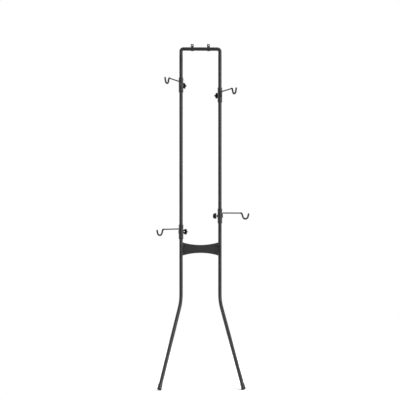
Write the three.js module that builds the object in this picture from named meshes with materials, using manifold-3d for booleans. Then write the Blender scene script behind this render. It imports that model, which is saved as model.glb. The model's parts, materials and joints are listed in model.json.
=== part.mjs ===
// A two tier bike rack that leans on a wall. Two steel uprights carry four clamps,
// each with an arm that ends in a covered hook, and two splayed legs bring the feet forward.
// The origin is on the floor at the wall, midway between the uprights. The wall is the plane
// y = 0, the rack stands in front of it towards -Y, and +Z is up. Lengths are in millimetres.

import * as THREE from 'three';
import { mergeVertices } from 'three/addons/utils/BufferGeometryUtils.js';
import Module from 'manifold-3d';

const wasm = await Module();
wasm.setup();

// Driving sizes of the frame
const tubeDiameter = 22.2;
const tubeWall = 1.5;
const uprightSpacing = 247.6;
const wallStandoff = 52;
const barHeight = 2077;
const elbowRadius = 16;
const elbowStraight = 3;
const bandLength = 21;
const plateHeight = 803;
const legJointDrop = 48;
const legBendHeight = 469;
const legBendRadius = 127;
const footSpread = 124;
const footReach = 370;

// Clearances between pieces, and how far a cutting shape runs past what it cuts
const seatGap = 0.3;
const overrun = 2;

// How finely round shapes are divided
const tubeSides = 20;
const ringSides = 16;
const rodSides = 8;
const boltSides = 10;
const hexSides = 6;
const elbowSteps = 5;
const legBendSteps = 5;

const topJointHeight = barHeight - elbowRadius - elbowStraight - bandLength;
const legJointHeight = plateHeight - legJointDrop;
const tubeRadius = tubeDiameter / 2;
const tubeBore = tubeRadius - tubeWall;
const uprightX = uprightSpacing / 2;
const down = new THREE.Vector3(0, 0, -1);
const sides = { left: -1, right: 1 };

// Finishes, by colour, roughness and metalness
const finishes = {
  paint: [0x2b2c2e, 0.5, 0.2],
  knob: [0x0b0b0c, 0.3, 0],
  nylon: [0x1d1d1f, 0.6, 0],
  vinyl: [0x161719, 0.55, 0],
  rubber: [0x151515, 0.8, 0],
  zinc: [0xa9abad, 0.35, 1],
  brass: [0xb08a4a, 0.4, 1],
};

const rack = new THREE.Group();

// One named piece of the rack
function addPiece(parent, name, finish, geometry) {
  const [color, roughness, metalness] = finishes[finish];
  const material = new THREE.MeshStandardMaterial({ color, roughness, metalness });
  const mesh = new THREE.Mesh(geometry, material);
  mesh.name = name;
  parent.add(mesh);
  return mesh;
}

// Six times the signed volume tells whether a closed surface points out
function pointsOut(positions, index) {
  const [a, b, c] = [new THREE.Vector3(), new THREE.Vector3(), new THREE.Vector3()];
  let sum = 0;
  for (let i = 0; i < index.length; i += 3) {
    a.fromArray(positions, index[i] * 3);
    b.fromArray(positions, index[i + 1] * 3);
    c.fromArray(positions, index[i + 2] * 3);
    sum += a.dot(b.cross(c));
  }
  return sum > 0;
}

// A closed geometry with shared vertices becomes a solid that can be joined and cut
function toSolid(geometry) {
  const plain = geometry.clone();
  plain.deleteAttribute('normal');
  plain.deleteAttribute('uv');
  const merged = mergeVertices(plain);
  const vertProperties = new Float32Array(merged.attributes.position.array);
  const triVerts = new Uint32Array(merged.index.array);
  if (!pointsOut(vertProperties, triVerts)) triVerts.reverse();
  return new wasm.Manifold(new wasm.Mesh({ numProp: 3, vertProperties, triVerts }));
}

function toGeometry(solid) {
  const { vertProperties, triVerts } = solid.getMesh();
  const geometry = new THREE.BufferGeometry();
  geometry.setAttribute('position', new THREE.BufferAttribute(vertProperties, 3));
  geometry.setIndex(new THREE.BufferAttribute(triVerts, 1));
  geometry.computeVertexNormals();
  return geometry;
}

function join(first, ...others) {
  return toGeometry(others.reduce((sum, other) => sum.add(toSolid(other)), toSolid(first)));
}

function cut(first, ...others) {
  return toGeometry(others.reduce((rest, other) => rest.subtract(toSolid(other)), toSolid(first)));
}

function common(first, second) {
  return toGeometry(toSolid(first).intersect(toSolid(second)));
}

// A polygon whose flats, not its corners, lie at the given radius, for bores
function boreRadius(radius, count) {
  return radius / Math.cos(Math.PI / count);
}

// A profile of [radius, height] pairs turned about the Z axis
function turned(profile, count) {
  const points = profile.map(([radius, height]) => new THREE.Vector2(radius, height));
  return new THREE.LatheGeometry(points, count).rotateX(Math.PI / 2);
}

// A plain rod about the Z axis, from one height to another
function rodBetween(radius, low, high, count) {
  const rod = new THREE.CylinderGeometry(radius, radius, high - low, count);
  return rod.rotateX(Math.PI / 2).translate(0, 0, (low + high) / 2);
}

// Turns a shape that was made about Z so that it lies about X
function alongX(geometry) {
  return geometry.rotateY(Math.PI / 2);
}

// Turns a shape drawn flat and given depth upwards so that it faces -Y, with its own Y up
function facingFront(geometry) {
  return geometry.rotateX(Math.PI / 2);
}

// Turns a shape that was made about Z so that its top faces the wall
function facingBack(geometry) {
  return geometry.rotateX(-Math.PI / 2);
}

// A path with a station wherever the sweep needs a ring, each with its exact direction
class StationPath extends THREE.Curve {
  constructor(stations) {
    super();
    this.stations = stations;
  }

  stationAt(t) {
    return this.stations[Math.round(t * (this.stations.length - 1))];
  }

  getUtoTmapping(u) {
    return u;
  }

  getPoint(t, target = new THREE.Vector3()) {
    return target.copy(this.stationAt(t).point);
  }

  getTangent(t, target = new THREE.Vector3()) {
    return target.copy(this.stationAt(t).direction);
  }
}

// Straight lengths through the corners, with a round bend of the given radius at each
function bentPath(corners, radii, steps) {
  const directions = corners.slice(1).map((corner, i) => corner.clone().sub(corners[i]).normalize());
  const stations = [{ point: corners[0].clone(), direction: directions[0] }];
  radii.forEach((radius, i) => {
    const [before, after] = [directions[i], directions[i + 1]];
    const turn = before.angleTo(after);
    const inward = after.clone().addScaledVector(before, -before.dot(after)).normalize();
    const start = corners[i + 1].clone().addScaledVector(before, -radius * Math.tan(turn / 2));
    for (let k = 0; k <= steps[i]; k += 1) {
      const angle = (turn * k) / steps[i];
      const point = start.clone()
        .addScaledVector(before, radius * Math.sin(angle))
        .addScaledVector(inward, radius * (1 - Math.cos(angle)));
      const direction = before.clone().multiplyScalar(Math.cos(angle))
        .addScaledVector(inward, Math.sin(angle));
      stations.push({ point, direction });
    }
  });
  stations.push({ point: corners[corners.length - 1].clone(), direction: directions[directions.length - 1] });
  return new StationPath(stations);
}

// A round bar, or with a bore a round tube, along a path
function sweep(path, radius, count, bore = 0) {
  const section = new THREE.Shape().absarc(0, 0, radius, 0, Math.PI * 2);
  if (bore > 0) section.holes.push(new THREE.Path().absarc(0, 0, bore, 0, Math.PI * 2, true));
  const settings = { steps: path.stations.length - 1, curveSegments: count / 2, extrudePath: path };
  return new THREE.ExtrudeGeometry(section, settings);
}

// A necked end that slides into the next tube. Its collar lies inside the wall of its own tube.
// Where a band is left in view under that tube it carries one bead of the tube's full width.
const neckLength = 45;
const neckWall = 1.4;
const neckCollarLength = 12;
const beadStart = 7;
const beadEnd = 14;
const beadEdge = 1.5;
const neckRadius = tubeBore - seatGap;

function neckedEnd(band) {
  const collarRadius = (tubeRadius + tubeBore) / 2;
  const bore = neckRadius - neckWall;
  const bead = [
    [collarRadius, beadStart], [tubeRadius, beadStart + beadEdge],
    [tubeRadius, beadEnd - beadEdge], [collarRadius, beadEnd],
  ];
  const top = band + neckCollarLength;
  return turned([
    [bore, -neckLength], [neckRadius, -neckLength], [neckRadius, 0], [collarRadius, 0],
    ...(band > 0 ? bead : []), [collarRadius, top], [bore, top], [bore, -neckLength],
  ], tubeSides);
}

// The screws at the back that lock each joint between two tubes
const jointScrewDiameter = 4;
const jointScrewSetback = 11;
const jointScrewHeadRadius = 3.4;
const jointScrewHeadHeight = 2;
const jointScrewHeadRound = 0.8;
const jointScrewTail = 1.5;
const jointScrewHeights = {
  top: topJointHeight - jointScrewSetback,
  leg: legJointHeight + jointScrewSetback,
};
const jointScrewRadius = jointScrewDiameter / 2;

function jointHole(x, height) {
  const radius = boreRadius(jointScrewRadius + seatGap, rodSides);
  const hole = rodBetween(radius, 0, tubeRadius + overrun, rodSides);
  return facingBack(hole).translate(x, 0, height);
}

// A low headed screw that lies along +Y, with its head against the tube
function jointScrew() {
  const seat = tubeRadius + seatGap;
  const tip = neckRadius - neckWall - jointScrewTail;
  return facingBack(turned([
    [0, tip], [jointScrewRadius, tip], [jointScrewRadius, seat], [jointScrewHeadRadius, seat],
    [jointScrewHeadRadius, seat + jointScrewHeadHeight - jointScrewHeadRound],
    [jointScrewHeadRadius - jointScrewHeadRound, seat + jointScrewHeadHeight],
    [0, seat + jointScrewHeadHeight],
  ], rodSides));
}

// The cross bar with its two tight elbows and short legs that plug into the uprights
function topBar() {
  const low = topJointHeight + seatGap;
  const at = (x, z) => new THREE.Vector3(x, 0, z);
  const end = low + bandLength;
  const corners = [at(-uprightX, end), at(-uprightX, barHeight), at(uprightX, barHeight), at(uprightX, end)];
  const path = bentPath(corners, [elbowRadius, elbowRadius], [elbowSteps, elbowSteps]);
  const tube = sweep(path, tubeRadius, tubeSides, tubeBore);
  const necks = [-uprightX, uprightX].map((x) => neckedEnd(bandLength).translate(x, 0, low));
  const holes = [-uprightX, uprightX].map((x) => jointHole(x, jointScrewHeights.top));
  return cut(join(tube, ...necks), ...holes);
}

function uprightTube() {
  const tube = turned([
    [tubeBore, legJointHeight], [tubeRadius, legJointHeight], [tubeRadius, topJointHeight],
    [tubeBore, topJointHeight], [tubeBore, legJointHeight],
  ], tubeSides);
  return cut(tube, ...Object.values(jointScrewHeights).map((height) => jointHole(0, height)));
}

// The rubber foot is a cup with a thick sole of its own width. Heights run from the leg's end.
const capWall = 1.8;
const capLength = 28;
const soleThickness = 6;
const soleRadius = 14.2;
const soleEdge = 2.2;
const soleBand = 5;

const capProfile = [
  [0, -seatGap - soleThickness], [soleRadius - soleEdge, -seatGap - soleThickness],
  [soleRadius, soleEdge - seatGap - soleThickness], [soleRadius, soleBand - seatGap - soleThickness],
  [tubeRadius + seatGap + capWall, soleBand + soleEdge - seatGap - soleThickness],
  [tubeRadius + seatGap + capWall, capLength - capWall],
  [tubeRadius + seatGap + capWall / 2, capLength],
  [boreRadius(tubeRadius + seatGap, tubeSides), capLength],
  [boreRadius(tubeRadius + seatGap, tubeSides), -seatGap], [0, -seatGap],
];

// A leg runs straight down, then bends outwards and forwards until its sole meets the floor
function legLine(side) {
  const direction = new THREE.Vector3(side * footSpread, -footReach, -legBendHeight).normalize();
  const slope = direction.angleTo(down);
  const reachBelow = Math.max(...capProfile.map(([r, h]) => r * Math.sin(slope) - h * Math.cos(slope)));
  const length = (legBendHeight - reachBelow) / Math.cos(slope);
  const bend = new THREE.Vector3(0, 0, legBendHeight);
  return { direction, bend, end: bend.clone().addScaledVector(direction, length) };
}

function legTube(side) {
  const { bend, end } = legLine(side);
  const top = new THREE.Vector3(0, 0, legJointHeight - seatGap);
  const path = bentPath([top, bend, end], [legBendRadius], [legBendSteps]);
  const tube = sweep(path, tubeRadius, tubeSides, tubeBore);
  const neck = neckedEnd(0).rotateX(Math.PI).translate(0, 0, top.z);
  return cut(join(tube, neck), jointHole(0, jointScrewHeights.leg));
}

// The waisted plate between the uprights: a shallow pressed tray with rims turned back
const plateEndHeight = 83.5;
const plateWaistHeight = 51;
const plateThickness = 2;
const plateRim = 9;
const plateEdgeRound = 2.6;
const plateForward = 4;
const plateArcSteps = 14;
const plateBevelSteps = 2;
const plateHalfLength = uprightX - tubeRadius - seatGap;

// The outline between two arcs that draw in towards the middle. Inset brings the arcs closer.
function waistedOutline(halfLength, inset) {
  const sag = (plateEndHeight - plateWaistHeight) / 2;
  const arcRadius = (plateHalfLength ** 2 + sag ** 2) / (2 * sag);
  const radius = arcRadius + inset;
  const centre = plateWaistHeight / 2 + arcRadius;
  const spread = Math.asin(halfLength / radius);
  const outline = new THREE.Shape();
  outline.absarc(0, centre, radius, Math.PI * 1.5 - spread, Math.PI * 1.5 + spread);
  outline.absarc(0, -centre, radius, Math.PI * 0.5 - spread, Math.PI * 0.5 + spread);
  return outline;
}

// The lugs on the uprights that the plate is screwed to
const lugWidth = 20;
const lugHeight = 56;
const lugThickness = 2.5;
const screwPitch = 38;
const screwInset = 10.5;
const screwDiameter = 4.8;
const screwHeadRadius = 4.3;
const screwHeadHeight = 2.6;
const screwHeadRound = 1;
const screwTail = 3;
const screwSocketRadius = 2;
const screwSocketDepth = 1.6;
const screwX = plateHalfLength - screwInset;
const screwRadius = screwDiameter / 2;
const screwHole = boreRadius(screwRadius + seatGap, boltSides);

function screwHoles(parity, length) {
  return [-1, 1].map((row) => facingFront(rodBetween(screwHole, -length, length, boltSides))
    .translate(parity * screwX, 0, plateHeight + (row * screwPitch) / 2));
}

function connectingPlate() {
  const settings = {
    depth: plateRim - plateEdgeRound * 2,
    curveSegments: plateArcSteps / 2,
    bevelSize: plateEdgeRound,
    bevelThickness: plateEdgeRound,
    bevelOffset: -plateEdgeRound,
    bevelSegments: plateBevelSteps,
  };
  const tray = facingFront(new THREE.ExtrudeGeometry(waistedOutline(plateHalfLength, 0), settings));
  tray.translate(0, plateRim - plateEdgeRound - plateForward, plateHeight);
  const pocketSettings = { depth: plateRim, bevelEnabled: false, curveSegments: plateArcSteps / 2 };
  const pocketOutline = waistedOutline(plateHalfLength + overrun, plateThickness);
  const pocket = facingFront(new THREE.ExtrudeGeometry(pocketOutline, pocketSettings));
  pocket.translate(0, plateRim + plateThickness - plateForward, plateHeight);
  return cut(tray, pocket, ...screwHoles(-1, plateRim), ...screwHoles(1, plateRim));
}

// A flat lug behind the plate, from the upright's side inwards
function plateLug(side) {
  const near = plateThickness + seatGap - plateForward;
  const lug = new THREE.BoxGeometry(lugWidth, lugThickness, lugHeight);
  lug.translate(side * (plateHalfLength - lugWidth / 2), near + lugThickness / 2, plateHeight);
  return cut(lug, ...screwHoles(side, plateRim));
}

// A round headed screw about Z with its head up, and a six sided socket in the head
function plateScrew() {
  const grip = plateThickness + seatGap + lugThickness + screwTail;
  const body = turned([
    [0, -grip], [screwRadius, -grip], [screwRadius, seatGap], [screwHeadRadius, seatGap],
    [screwHeadRadius, screwHeadHeight - screwHeadRound],
    [screwHeadRadius - screwHeadRound, screwHeadHeight], [0, screwHeadHeight],
  ], boltSides);
  const socketFloor = screwHeadHeight - screwSocketDepth;
  return cut(body, rodBetween(screwSocketRadius, socketFloor, screwHeadHeight + overrun, hexSides));
}

// The wall bracket: a strap looped round the bar, with two tails bolted together, whose
// upper tail runs back to the wall and turns up into a tab with a screw hole
const bracketX = 52;
const strapWidth = 18;
const strapThickness = 2;
const tailGap = 1;
const lowerTailLength = 24;
const tabRise = 44;
const tabHoleDiameter = 6.4;
const tabHoleDrop = 7.5;
const tabCorner = 2;
const tabCornerSteps = 3;
const bracketBoltX = 27;
const bracketBoltDiameter = 5;
const bracketHeadRadius = 4.6;
const bracketHeadHeight = 3.4;
const bracketNutHeight = 4;
const bracketBoltTail = 1.5;
const strapCurveSteps = 8;
const bracketBoltRadius = bracketBoltDiameter / 2;

function wallBracket() {
  const inner = boreRadius(tubeRadius + seatGap, strapCurveSteps * 2);
  const outer = inner + strapThickness;
  const low = tailGap / 2;
  const high = low + strapThickness;
  const outline = new THREE.Shape();
  const innerAngle = Math.asin(low / inner);
  const outerAngle = Math.asin(high / outer);
  outline.moveTo(inner * Math.cos(innerAngle), low);
  outline.lineTo(wallStandoff, low);
  outline.lineTo(wallStandoff, tabRise);
  outline.lineTo(wallStandoff - strapThickness, tabRise);
  outline.lineTo(wallStandoff - strapThickness, high);
  outline.absarc(0, 0, outer, outerAngle, Math.PI * 2 - outerAngle);
  outline.lineTo(outer + lowerTailLength, -high);
  outline.lineTo(outer + lowerTailLength, -low);
  outline.absarc(0, 0, inner, Math.PI * 2 - innerAngle, innerAngle, true);
  const settings = { depth: strapWidth, bevelEnabled: false, curveSegments: strapCurveSteps };
  const strap = new THREE.ExtrudeGeometry(outline, settings);
  const axes = new THREE.Matrix4().makeBasis(
    new THREE.Vector3(0, 1, 0), new THREE.Vector3(0, 0, 1), new THREE.Vector3(1, 0, 0));
  strap.applyMatrix4(axes).translate(-strapWidth / 2, 0, 0);
  const boltHole = rodBetween(boreRadius(bracketBoltRadius + seatGap, boltSides), -outer, outer, boltSides);
  boltHole.translate(0, bracketBoltX, 0);
  const tabHole = facingFront(rodBetween(tabHoleDiameter / 2, -overrun, strapThickness + overrun, boltSides));
  tabHole.translate(0, wallStandoff, tabRise - tabHoleDrop);
  return common(cut(strap, boltHole, tabHole), tabFace(outer));
}

// The front view of a bracket: its width, with the top corners of the tab rounded
function tabFace(loopRadius) {
  const half = strapWidth / 2;
  const face = new THREE.Shape();
  face.moveTo(-half, -loopRadius - overrun);
  face.lineTo(half, -loopRadius - overrun);
  face.lineTo(half, tabRise - tabCorner);
  face.absarc(half - tabCorner, tabRise - tabCorner, tabCorner, 0, Math.PI / 2);
  face.absarc(tabCorner - half, tabRise - tabCorner, tabCorner, Math.PI / 2, Math.PI);
  const depth = wallStandoff + loopRadius + overrun * 2;
  const settings = { depth, bevelEnabled: false, curveSegments: tabCornerSteps };
  return facingFront(new THREE.ExtrudeGeometry(face, settings)).translate(0, wallStandoff + overrun, 0);
}

// The bolt and nut that pinch the strap's tails round the bar
const tailHeight = tailGap / 2 + strapThickness + seatGap;

function bracketBolt() {
  const tip = -tailHeight - bracketNutHeight - bracketBoltTail;
  const shank = rodBetween(bracketBoltRadius, tip, tailHeight + bracketHeadHeight / 2, boltSides);
  const head = rodBetween(bracketHeadRadius, tailHeight, tailHeight + bracketHeadHeight, hexSides);
  return join(head, shank);
}

function bracketNut() {
  const nut = rodBetween(bracketHeadRadius, -tailHeight - bracketNutHeight, -tailHeight, hexSides);
  const hole = boreRadius(bracketBoltRadius + seatGap, boltSides);
  const reach = tailHeight + bracketNutHeight + overrun;
  return cut(nut, rodBetween(hole, -reach, reach, boltSides));
}

// Sizes of a clamp. Its own origin is the upright's axis at mid height, with the arm towards +X
// and the knob towards -X.
const sleeveHalfLength = 43;
const sleeveBoreGap = 0.6;
const bushWall = 1.5;
const bushShank = 14;
const bushCollarHeight = 4.2;
const sleeveWall = 2.8;
const flareWall = 3.3;
const middleWall = 3.2;
const flareHeight = 6;
const waistTop = 29;
const waistBottom = 21;
const middleTop = 15;
const edgeSoftening = 1;
const spigotDiameter = 6;
const spigotBendRadius = 6;
const socketWall = 1;
const barrelWall = 1.5;
const barrelTop = 12;
const barrelBottom = 12;
const pinDiameter = 3;
const pinDrop = 5;
const pinStandout = 0.5;
const bossRadius = 8;
const bossProud = 2.9;
const rodDiameter = 8;
const armRise = 19;
const armBendRadius = 8;
const armBendSteps = 4;
const hookReach = 150;
const hookCornerSteps = 3;
const hookDepth = 36;
const hookRadius = 18;
const hookBendSteps = 7;
const hookInnerLean = 18;
const hookTipLean = 14;
const hookTipRise = -6.5;
const coverLead = 10;
const coverThickness = 1.5;
const coverTip = 1.2;
const domeRows = 4;
const pinSides = 8;

const rodRadius = rodDiameter / 2;
const spigotRadius = spigotDiameter / 2;
const bushBore = tubeRadius + seatGap;
const bushOuter = bushBore + bushWall;
const sleeveBore = tubeRadius + sleeveBoreGap;
const barrelCentre = sleeveBore + socketWall + seatGap + spigotRadius;
const barrelRadius = spigotRadius + seatGap + barrelWall;
const bossReach = sleeveBore + middleWall + bossProud;
const coverStart = hookReach - coverLead;
const pinRadius = pinDiameter / 2;

// A nylon bush slides on the upright. Its shank sits in the sleeve and its collar closes the end.
function clampBush() {
  const bore = boreRadius(bushBore, ringSides);
  return turned([
    [bore, -bushShank], [bushOuter, -bushShank], [bushOuter, seatGap],
    [sleeveBore + flareWall - edgeSoftening, seatGap],
    [sleeveBore + flareWall - edgeSoftening, seatGap + bushCollarHeight - edgeSoftening],
    [sleeveBore + flareWall - edgeSoftening * 2, seatGap + bushCollarHeight],
    [bore, seatGap + bushCollarHeight], [bore, -bushShank],
  ], ringSides);
}

// The cast sleeve: banded ends that hold the bushes, a shallow waist, and a middle band from
// which the arm's barrel and the knob's boss grow
function clampSleeve() {
  const seat = boreRadius(bushOuter + seatGap, ringSides);
  const bore = boreRadius(sleeveBore, ringSides);
  const seatEnd = sleeveHalfLength - bushShank - seatGap;
  const upper = [
    [middleWall, middleTop], [sleeveWall, waistBottom], [sleeveWall, waistTop],
    [flareWall, sleeveHalfLength - flareHeight], [flareWall - edgeSoftening, sleeveHalfLength],
  ].map(([wall, height]) => [sleeveBore + wall, height]);
  const lower = upper.map(([radius, height]) => [radius, -height]).reverse();
  const profile = [
    [bore, -seatEnd], [seat, -seatEnd], [seat, -sleeveHalfLength], ...lower, ...upper,
    [seat, sleeveHalfLength], [seat, seatEnd], [bore, seatEnd], [bore, -seatEnd],
  ];
  const barrel = rodBetween(barrelRadius, -barrelBottom, barrelTop, boltSides).translate(barrelCentre, 0, 0);
  const boss = alongX(rodBetween(bossRadius, -bossReach, -sleeveBore - sleeveWall / 2, boltSides));
  const socketRadius = boreRadius(spigotRadius + seatGap, rodSides);
  const socket = rodBetween(socketRadius, -barrelBottom - overrun, armRise, rodSides);
  socket.translate(barrelCentre, 0, 0);
  const studHole = boreRadius(studRadius + seatGap, boltSides);
  const thread = alongX(rodBetween(studHole, -bossReach - overrun, 0, boltSides));
  return cut(join(turned(profile, ringSides), barrel, boss), hollowCore(), socket, pinHole(), thread);
}

// The part of the upright's space that the barrel and boss must stay out of
function hollowCore() {
  return rodBetween(boreRadius(sleeveBore, ringSides), -waistBottom, waistBottom, ringSides);
}

// The pin across the barrel that keeps the arm's foot in it
function pinAcross(radius, reach) {
  return facingFront(rodBetween(radius, -reach, reach, pinSides)).translate(barrelCentre, 0, -pinDrop);
}

function armPin() {
  return pinAcross(pinRadius, barrelRadius + pinStandout);
}

function pinHole() {
  return pinAcross(boreRadius(pinRadius + seatGap, pinSides), barrelRadius + overrun);
}

// The line of the arm: up out of the barrel, out level, then down and round the hook
function armCorners(startX) {
  const inner = THREE.MathUtils.degToRad(hookInnerLean);
  const tip = THREE.MathUtils.degToRad(hookTipLean);
  const centreDrop = hookDepth - hookRadius;
  const centreX = hookReach + (hookRadius + centreDrop * Math.sin(inner)) / Math.cos(inner);
  const innerNormal = new THREE.Vector3(-Math.cos(inner), 0, -Math.sin(inner));
  const tipNormal = new THREE.Vector3(Math.cos(tip), 0, -Math.sin(tip));
  const centre = new THREE.Vector3(centreX, 0, armRise - centreDrop);
  const cornerReach = hookRadius / Math.sin((inner + tip) / 2);
  const corner = centre.clone().addScaledVector(innerNormal.clone().add(tipNormal).normalize(), cornerReach);
  const tipStart = centre.clone().addScaledVector(tipNormal, hookRadius);
  const tipDirection = new THREE.Vector3(Math.sin(tip), 0, Math.cos(tip));
  const rise = (armRise + hookTipRise - tipStart.z) / tipDirection.z;
  const end = tipStart.clone().addScaledVector(tipDirection, rise);
  const hook = [new THREE.Vector3(hookReach, 0, armRise), corner];
  return { start: new THREE.Vector3(startX, 0, armRise), hook, end, tipDirection };
}

const hookRadii = [armBendRadius, hookRadius];
const hookSteps = [hookCornerSteps, hookBendSteps];

// The rod is necked to a thinner spigot, which bends down into the barrel
function armRod() {
  const { start, hook, end } = armCorners(barrelCentre);
  const foot = new THREE.Vector3(barrelCentre, 0, seatGap - barrelBottom);
  const shoulder = new THREE.Vector3(barrelCentre + spigotBendRadius, 0, armRise);
  const spigotEnd = shoulder.clone().add(new THREE.Vector3(rodRadius, 0, 0));
  const spigotPath = bentPath([foot, start, spigotEnd], [spigotBendRadius], [armBendSteps]);
  const spigot = sweep(spigotPath, spigotRadius, rodSides);
  const rod = sweep(bentPath([shoulder, ...hook, end], hookRadii, hookSteps), rodRadius, rodSides);
  return cut(join(spigot, rod), pinHole());
}

// The soft cover over the hook, closed by a dome past the rod's end
function hookCover() {
  const { start, hook, end, tipDirection } = armCorners(coverStart);
  const tip = end.clone().addScaledVector(tipDirection, seatGap + coverTip);
  const outerRadius = rodRadius + coverThickness;
  const outside = sweep(bentPath([start, ...hook, tip], hookRadii, hookSteps), outerRadius, rodSides);
  const boreStart = new THREE.Vector3(coverStart - overrun, 0, armRise);
  const boreEnd = end.clone().addScaledVector(tipDirection, seatGap);
  const bore = bentPath([boreStart, ...hook, boreEnd], hookRadii, hookSteps);
  const inside = sweep(bore, boreRadius(rodRadius + seatGap, rodSides), rodSides);
  const dome = new THREE.SphereGeometry(outerRadius, rodSides, domeRows).rotateX(Math.PI / 2);
  dome.rotateY(THREE.MathUtils.degToRad(hookTipLean)).translate(...tip);
  const bored = toSolid(join(outside, dome)).subtract(toSolid(inside));
  return toGeometry(bored);
}

// The clamping screw. Distances run outwards from the upright's axis.
const studDiameter = 8;
const padThickness = 2.8;
const padSocketDepth = 1.5;
const noseRadius = 2;
const knobStandoff = 9.2;
const knobThickness = 16.5;
const knobRadius = 19;
const lobeDepth = 3.4;
const lobes = 5;
const pointsPerLobe = 7;
const knobEdge = 3;
const knobHoleDepth = 11;
const studCollarRadius = 5.2;
const studCollarLength = 6.8;
const knobDishRadius = 8;
const knobDishDepth = 1.2;
const studRadius = studDiameter / 2;
const knobStart = bossReach + knobStandoff;
const padStart = tubeRadius + seatGap;
const padEnd = padStart + padThickness;

// The pad that presses on the upright, with a socket for the stud's nose
function clampPad() {
  const socket = boreRadius(noseRadius + seatGap, rodSides);
  return alongX(turned([
    [0, padSocketDepth - padEnd], [socket, padSocketDepth - padEnd], [socket, -padEnd],
    [studRadius, -padEnd], [studRadius, -padStart], [0, -padStart],
  ], boltSides));
}

function clampStud() {
  const shoulder = padEnd + seatGap;
  const nose = shoulder - padSocketDepth;
  const end = knobStart + knobHoleDepth - seatGap;
  const collar = knobStart - seatGap;
  return alongX(turned([
    [0, -end], [studRadius, -end], [studRadius, -collar], [studCollarRadius, -collar],
    [studCollarRadius, studCollarLength - collar], [studRadius, studCollarLength - collar],
    [studRadius, -shoulder], [noseRadius, -shoulder], [noseRadius, -nose], [0, -nose],
  ], boltSides));
}

// The hand knob, a star whose outline swells and draws in once for each lobe. One lobe stands at
// an angle from straight up.
function clampKnob(lobeTurn) {
  const star = new THREE.Shape();
  const count = lobes * pointsPerLobe;
  const first = THREE.MathUtils.degToRad(lobeTurn);
  const points = Array.from({ length: count }, (_, i) => {
    const angle = (Math.PI * 2 * i) / count;
    const radius = knobRadius - lobeDepth * (1 - Math.cos(lobes * angle));
    return new THREE.Vector2(radius * Math.cos(first + angle), radius * Math.sin(first + angle));
  });
  star.setFromPoints(points);
  const settings = {
    depth: knobThickness - knobEdge * 2,
    bevelSize: knobEdge,
    bevelThickness: knobEdge,
    bevelOffset: -knobEdge,
    bevelSegments: 1,
  };
  const grip = new THREE.ExtrudeGeometry(star, settings).translate(0, 0, knobStart + knobEdge);
  const hole = boreRadius(studRadius + seatGap, boltSides);
  const bore = rodBetween(hole, knobStart - overrun, knobStart + knobHoleDepth, boltSides);
  const face = knobStart + knobThickness;
  const dish = rodBetween(knobDishRadius, face - knobDishDepth, face + overrun, ringSides);
  return cut(grip, bore, dish).rotateY(-Math.PI / 2);
}

// One clamp with its arm and knob at a height on an upright. The arm is turned by a number of
// degrees from pointing straight out sideways towards pointing straight forward.
function addClamp(name, side, height, armTurn, lobeTurn) {
  const clamp = new THREE.Group();
  clamp.position.set(side * uprightX, -wallStandoff, height);
  const turn = THREE.MathUtils.degToRad(armTurn);
  clamp.rotation.z = side > 0 ? -turn : Math.PI + turn;
  rack.add(clamp);
  const topBush = addPiece(clamp, `${name}_top_bush`, 'nylon', clampBush());
  topBush.position.z = sleeveHalfLength;
  const bottomBush = addPiece(clamp, `${name}_bottom_bush`, 'nylon', clampBush());
  bottomBush.position.z = -sleeveHalfLength;
  bottomBush.rotation.x = Math.PI;
  addPiece(clamp, `${name}_sleeve`, 'paint', clampSleeve());
  addPiece(clamp, `${name}_arm`, 'paint', armRod());
  addPiece(clamp, `${name}_arm_pin`, 'zinc', armPin());
  addPiece(clamp, `${name}_hook_cover`, 'vinyl', hookCover());
  addPiece(clamp, `${name}_pad`, 'brass', clampPad());
  addPiece(clamp, `${name}_stud`, 'zinc', clampStud());
  addPiece(clamp, `${name}_knob`, 'knob', clampKnob(lobeTurn));
}

const frame = new THREE.Group();
frame.position.y = -wallStandoff;
rack.add(frame);
addPiece(frame, 'top_bar', 'paint', topBar());
addPiece(frame, 'connecting_plate', 'paint', connectingPlate());

for (const [name, side] of Object.entries(sides)) {
  addPiece(frame, `upright_${name}`, 'paint', uprightTube()).position.x = side * uprightX;
  addPiece(frame, `leg_${name}`, 'paint', legTube(side)).position.x = side * uprightX;
  const { direction, end } = legLine(side);
  const cap = addPiece(frame, `foot_cap_${name}`, 'rubber', turned(capProfile, tubeSides));
  cap.position.copy(end).add(new THREE.Vector3(side * uprightX, 0, 0));
  cap.quaternion.setFromUnitVectors(down, direction);
  addPiece(frame, `plate_lug_${name}`, 'paint', plateLug(side));
  for (const [joint, height] of Object.entries(jointScrewHeights)) {
    const screw = addPiece(frame, `${joint}_joint_screw_${name}`, 'paint', jointScrew());
    screw.position.set(side * uprightX, 0, height);
  }
  for (const [level, row] of [['upper', 1], ['lower', -1]]) {
    const screw = addPiece(frame, `plate_screw_${level}_${name}`, 'paint', facingFront(plateScrew()));
    screw.position.set(side * screwX, -plateForward, plateHeight + (row * screwPitch) / 2);
  }
  const bracket = new THREE.Group();
  bracket.position.set(side * bracketX, 0, barHeight);
  frame.add(bracket);
  addPiece(bracket, `wall_bracket_${name}`, 'paint', wallBracket());
  addPiece(bracket, `bracket_bolt_${name}`, 'zinc', bracketBolt()).position.y = bracketBoltX;
  addPiece(bracket, `bracket_nut_${name}`, 'zinc', bracketNut()).position.y = bracketBoltX;
}

// Where each clamp sits, below the top joint or above the plate, and how far its arm is turned forward
const upperClampDrops = { left: 190, right: 253 };
const lowerClampRises = { left: 109, right: 210 };
const clampHeights = {
  upper_left: topJointHeight - upperClampDrops.left,
  upper_right: topJointHeight - upperClampDrops.right,
  lower_left: plateHeight + lowerClampRises.left,
  lower_right: plateHeight + lowerClampRises.right,
};
const armTurns = { upper_left: 61, upper_right: 62, lower_left: 42, lower_right: 26.7 };
// Three knobs stand with a lobe to the front, the lower right one with a lobe to the back
const lobeTurns = { upper_left: 90, upper_right: -90, lower_left: 90, lower_right: 90 };

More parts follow.
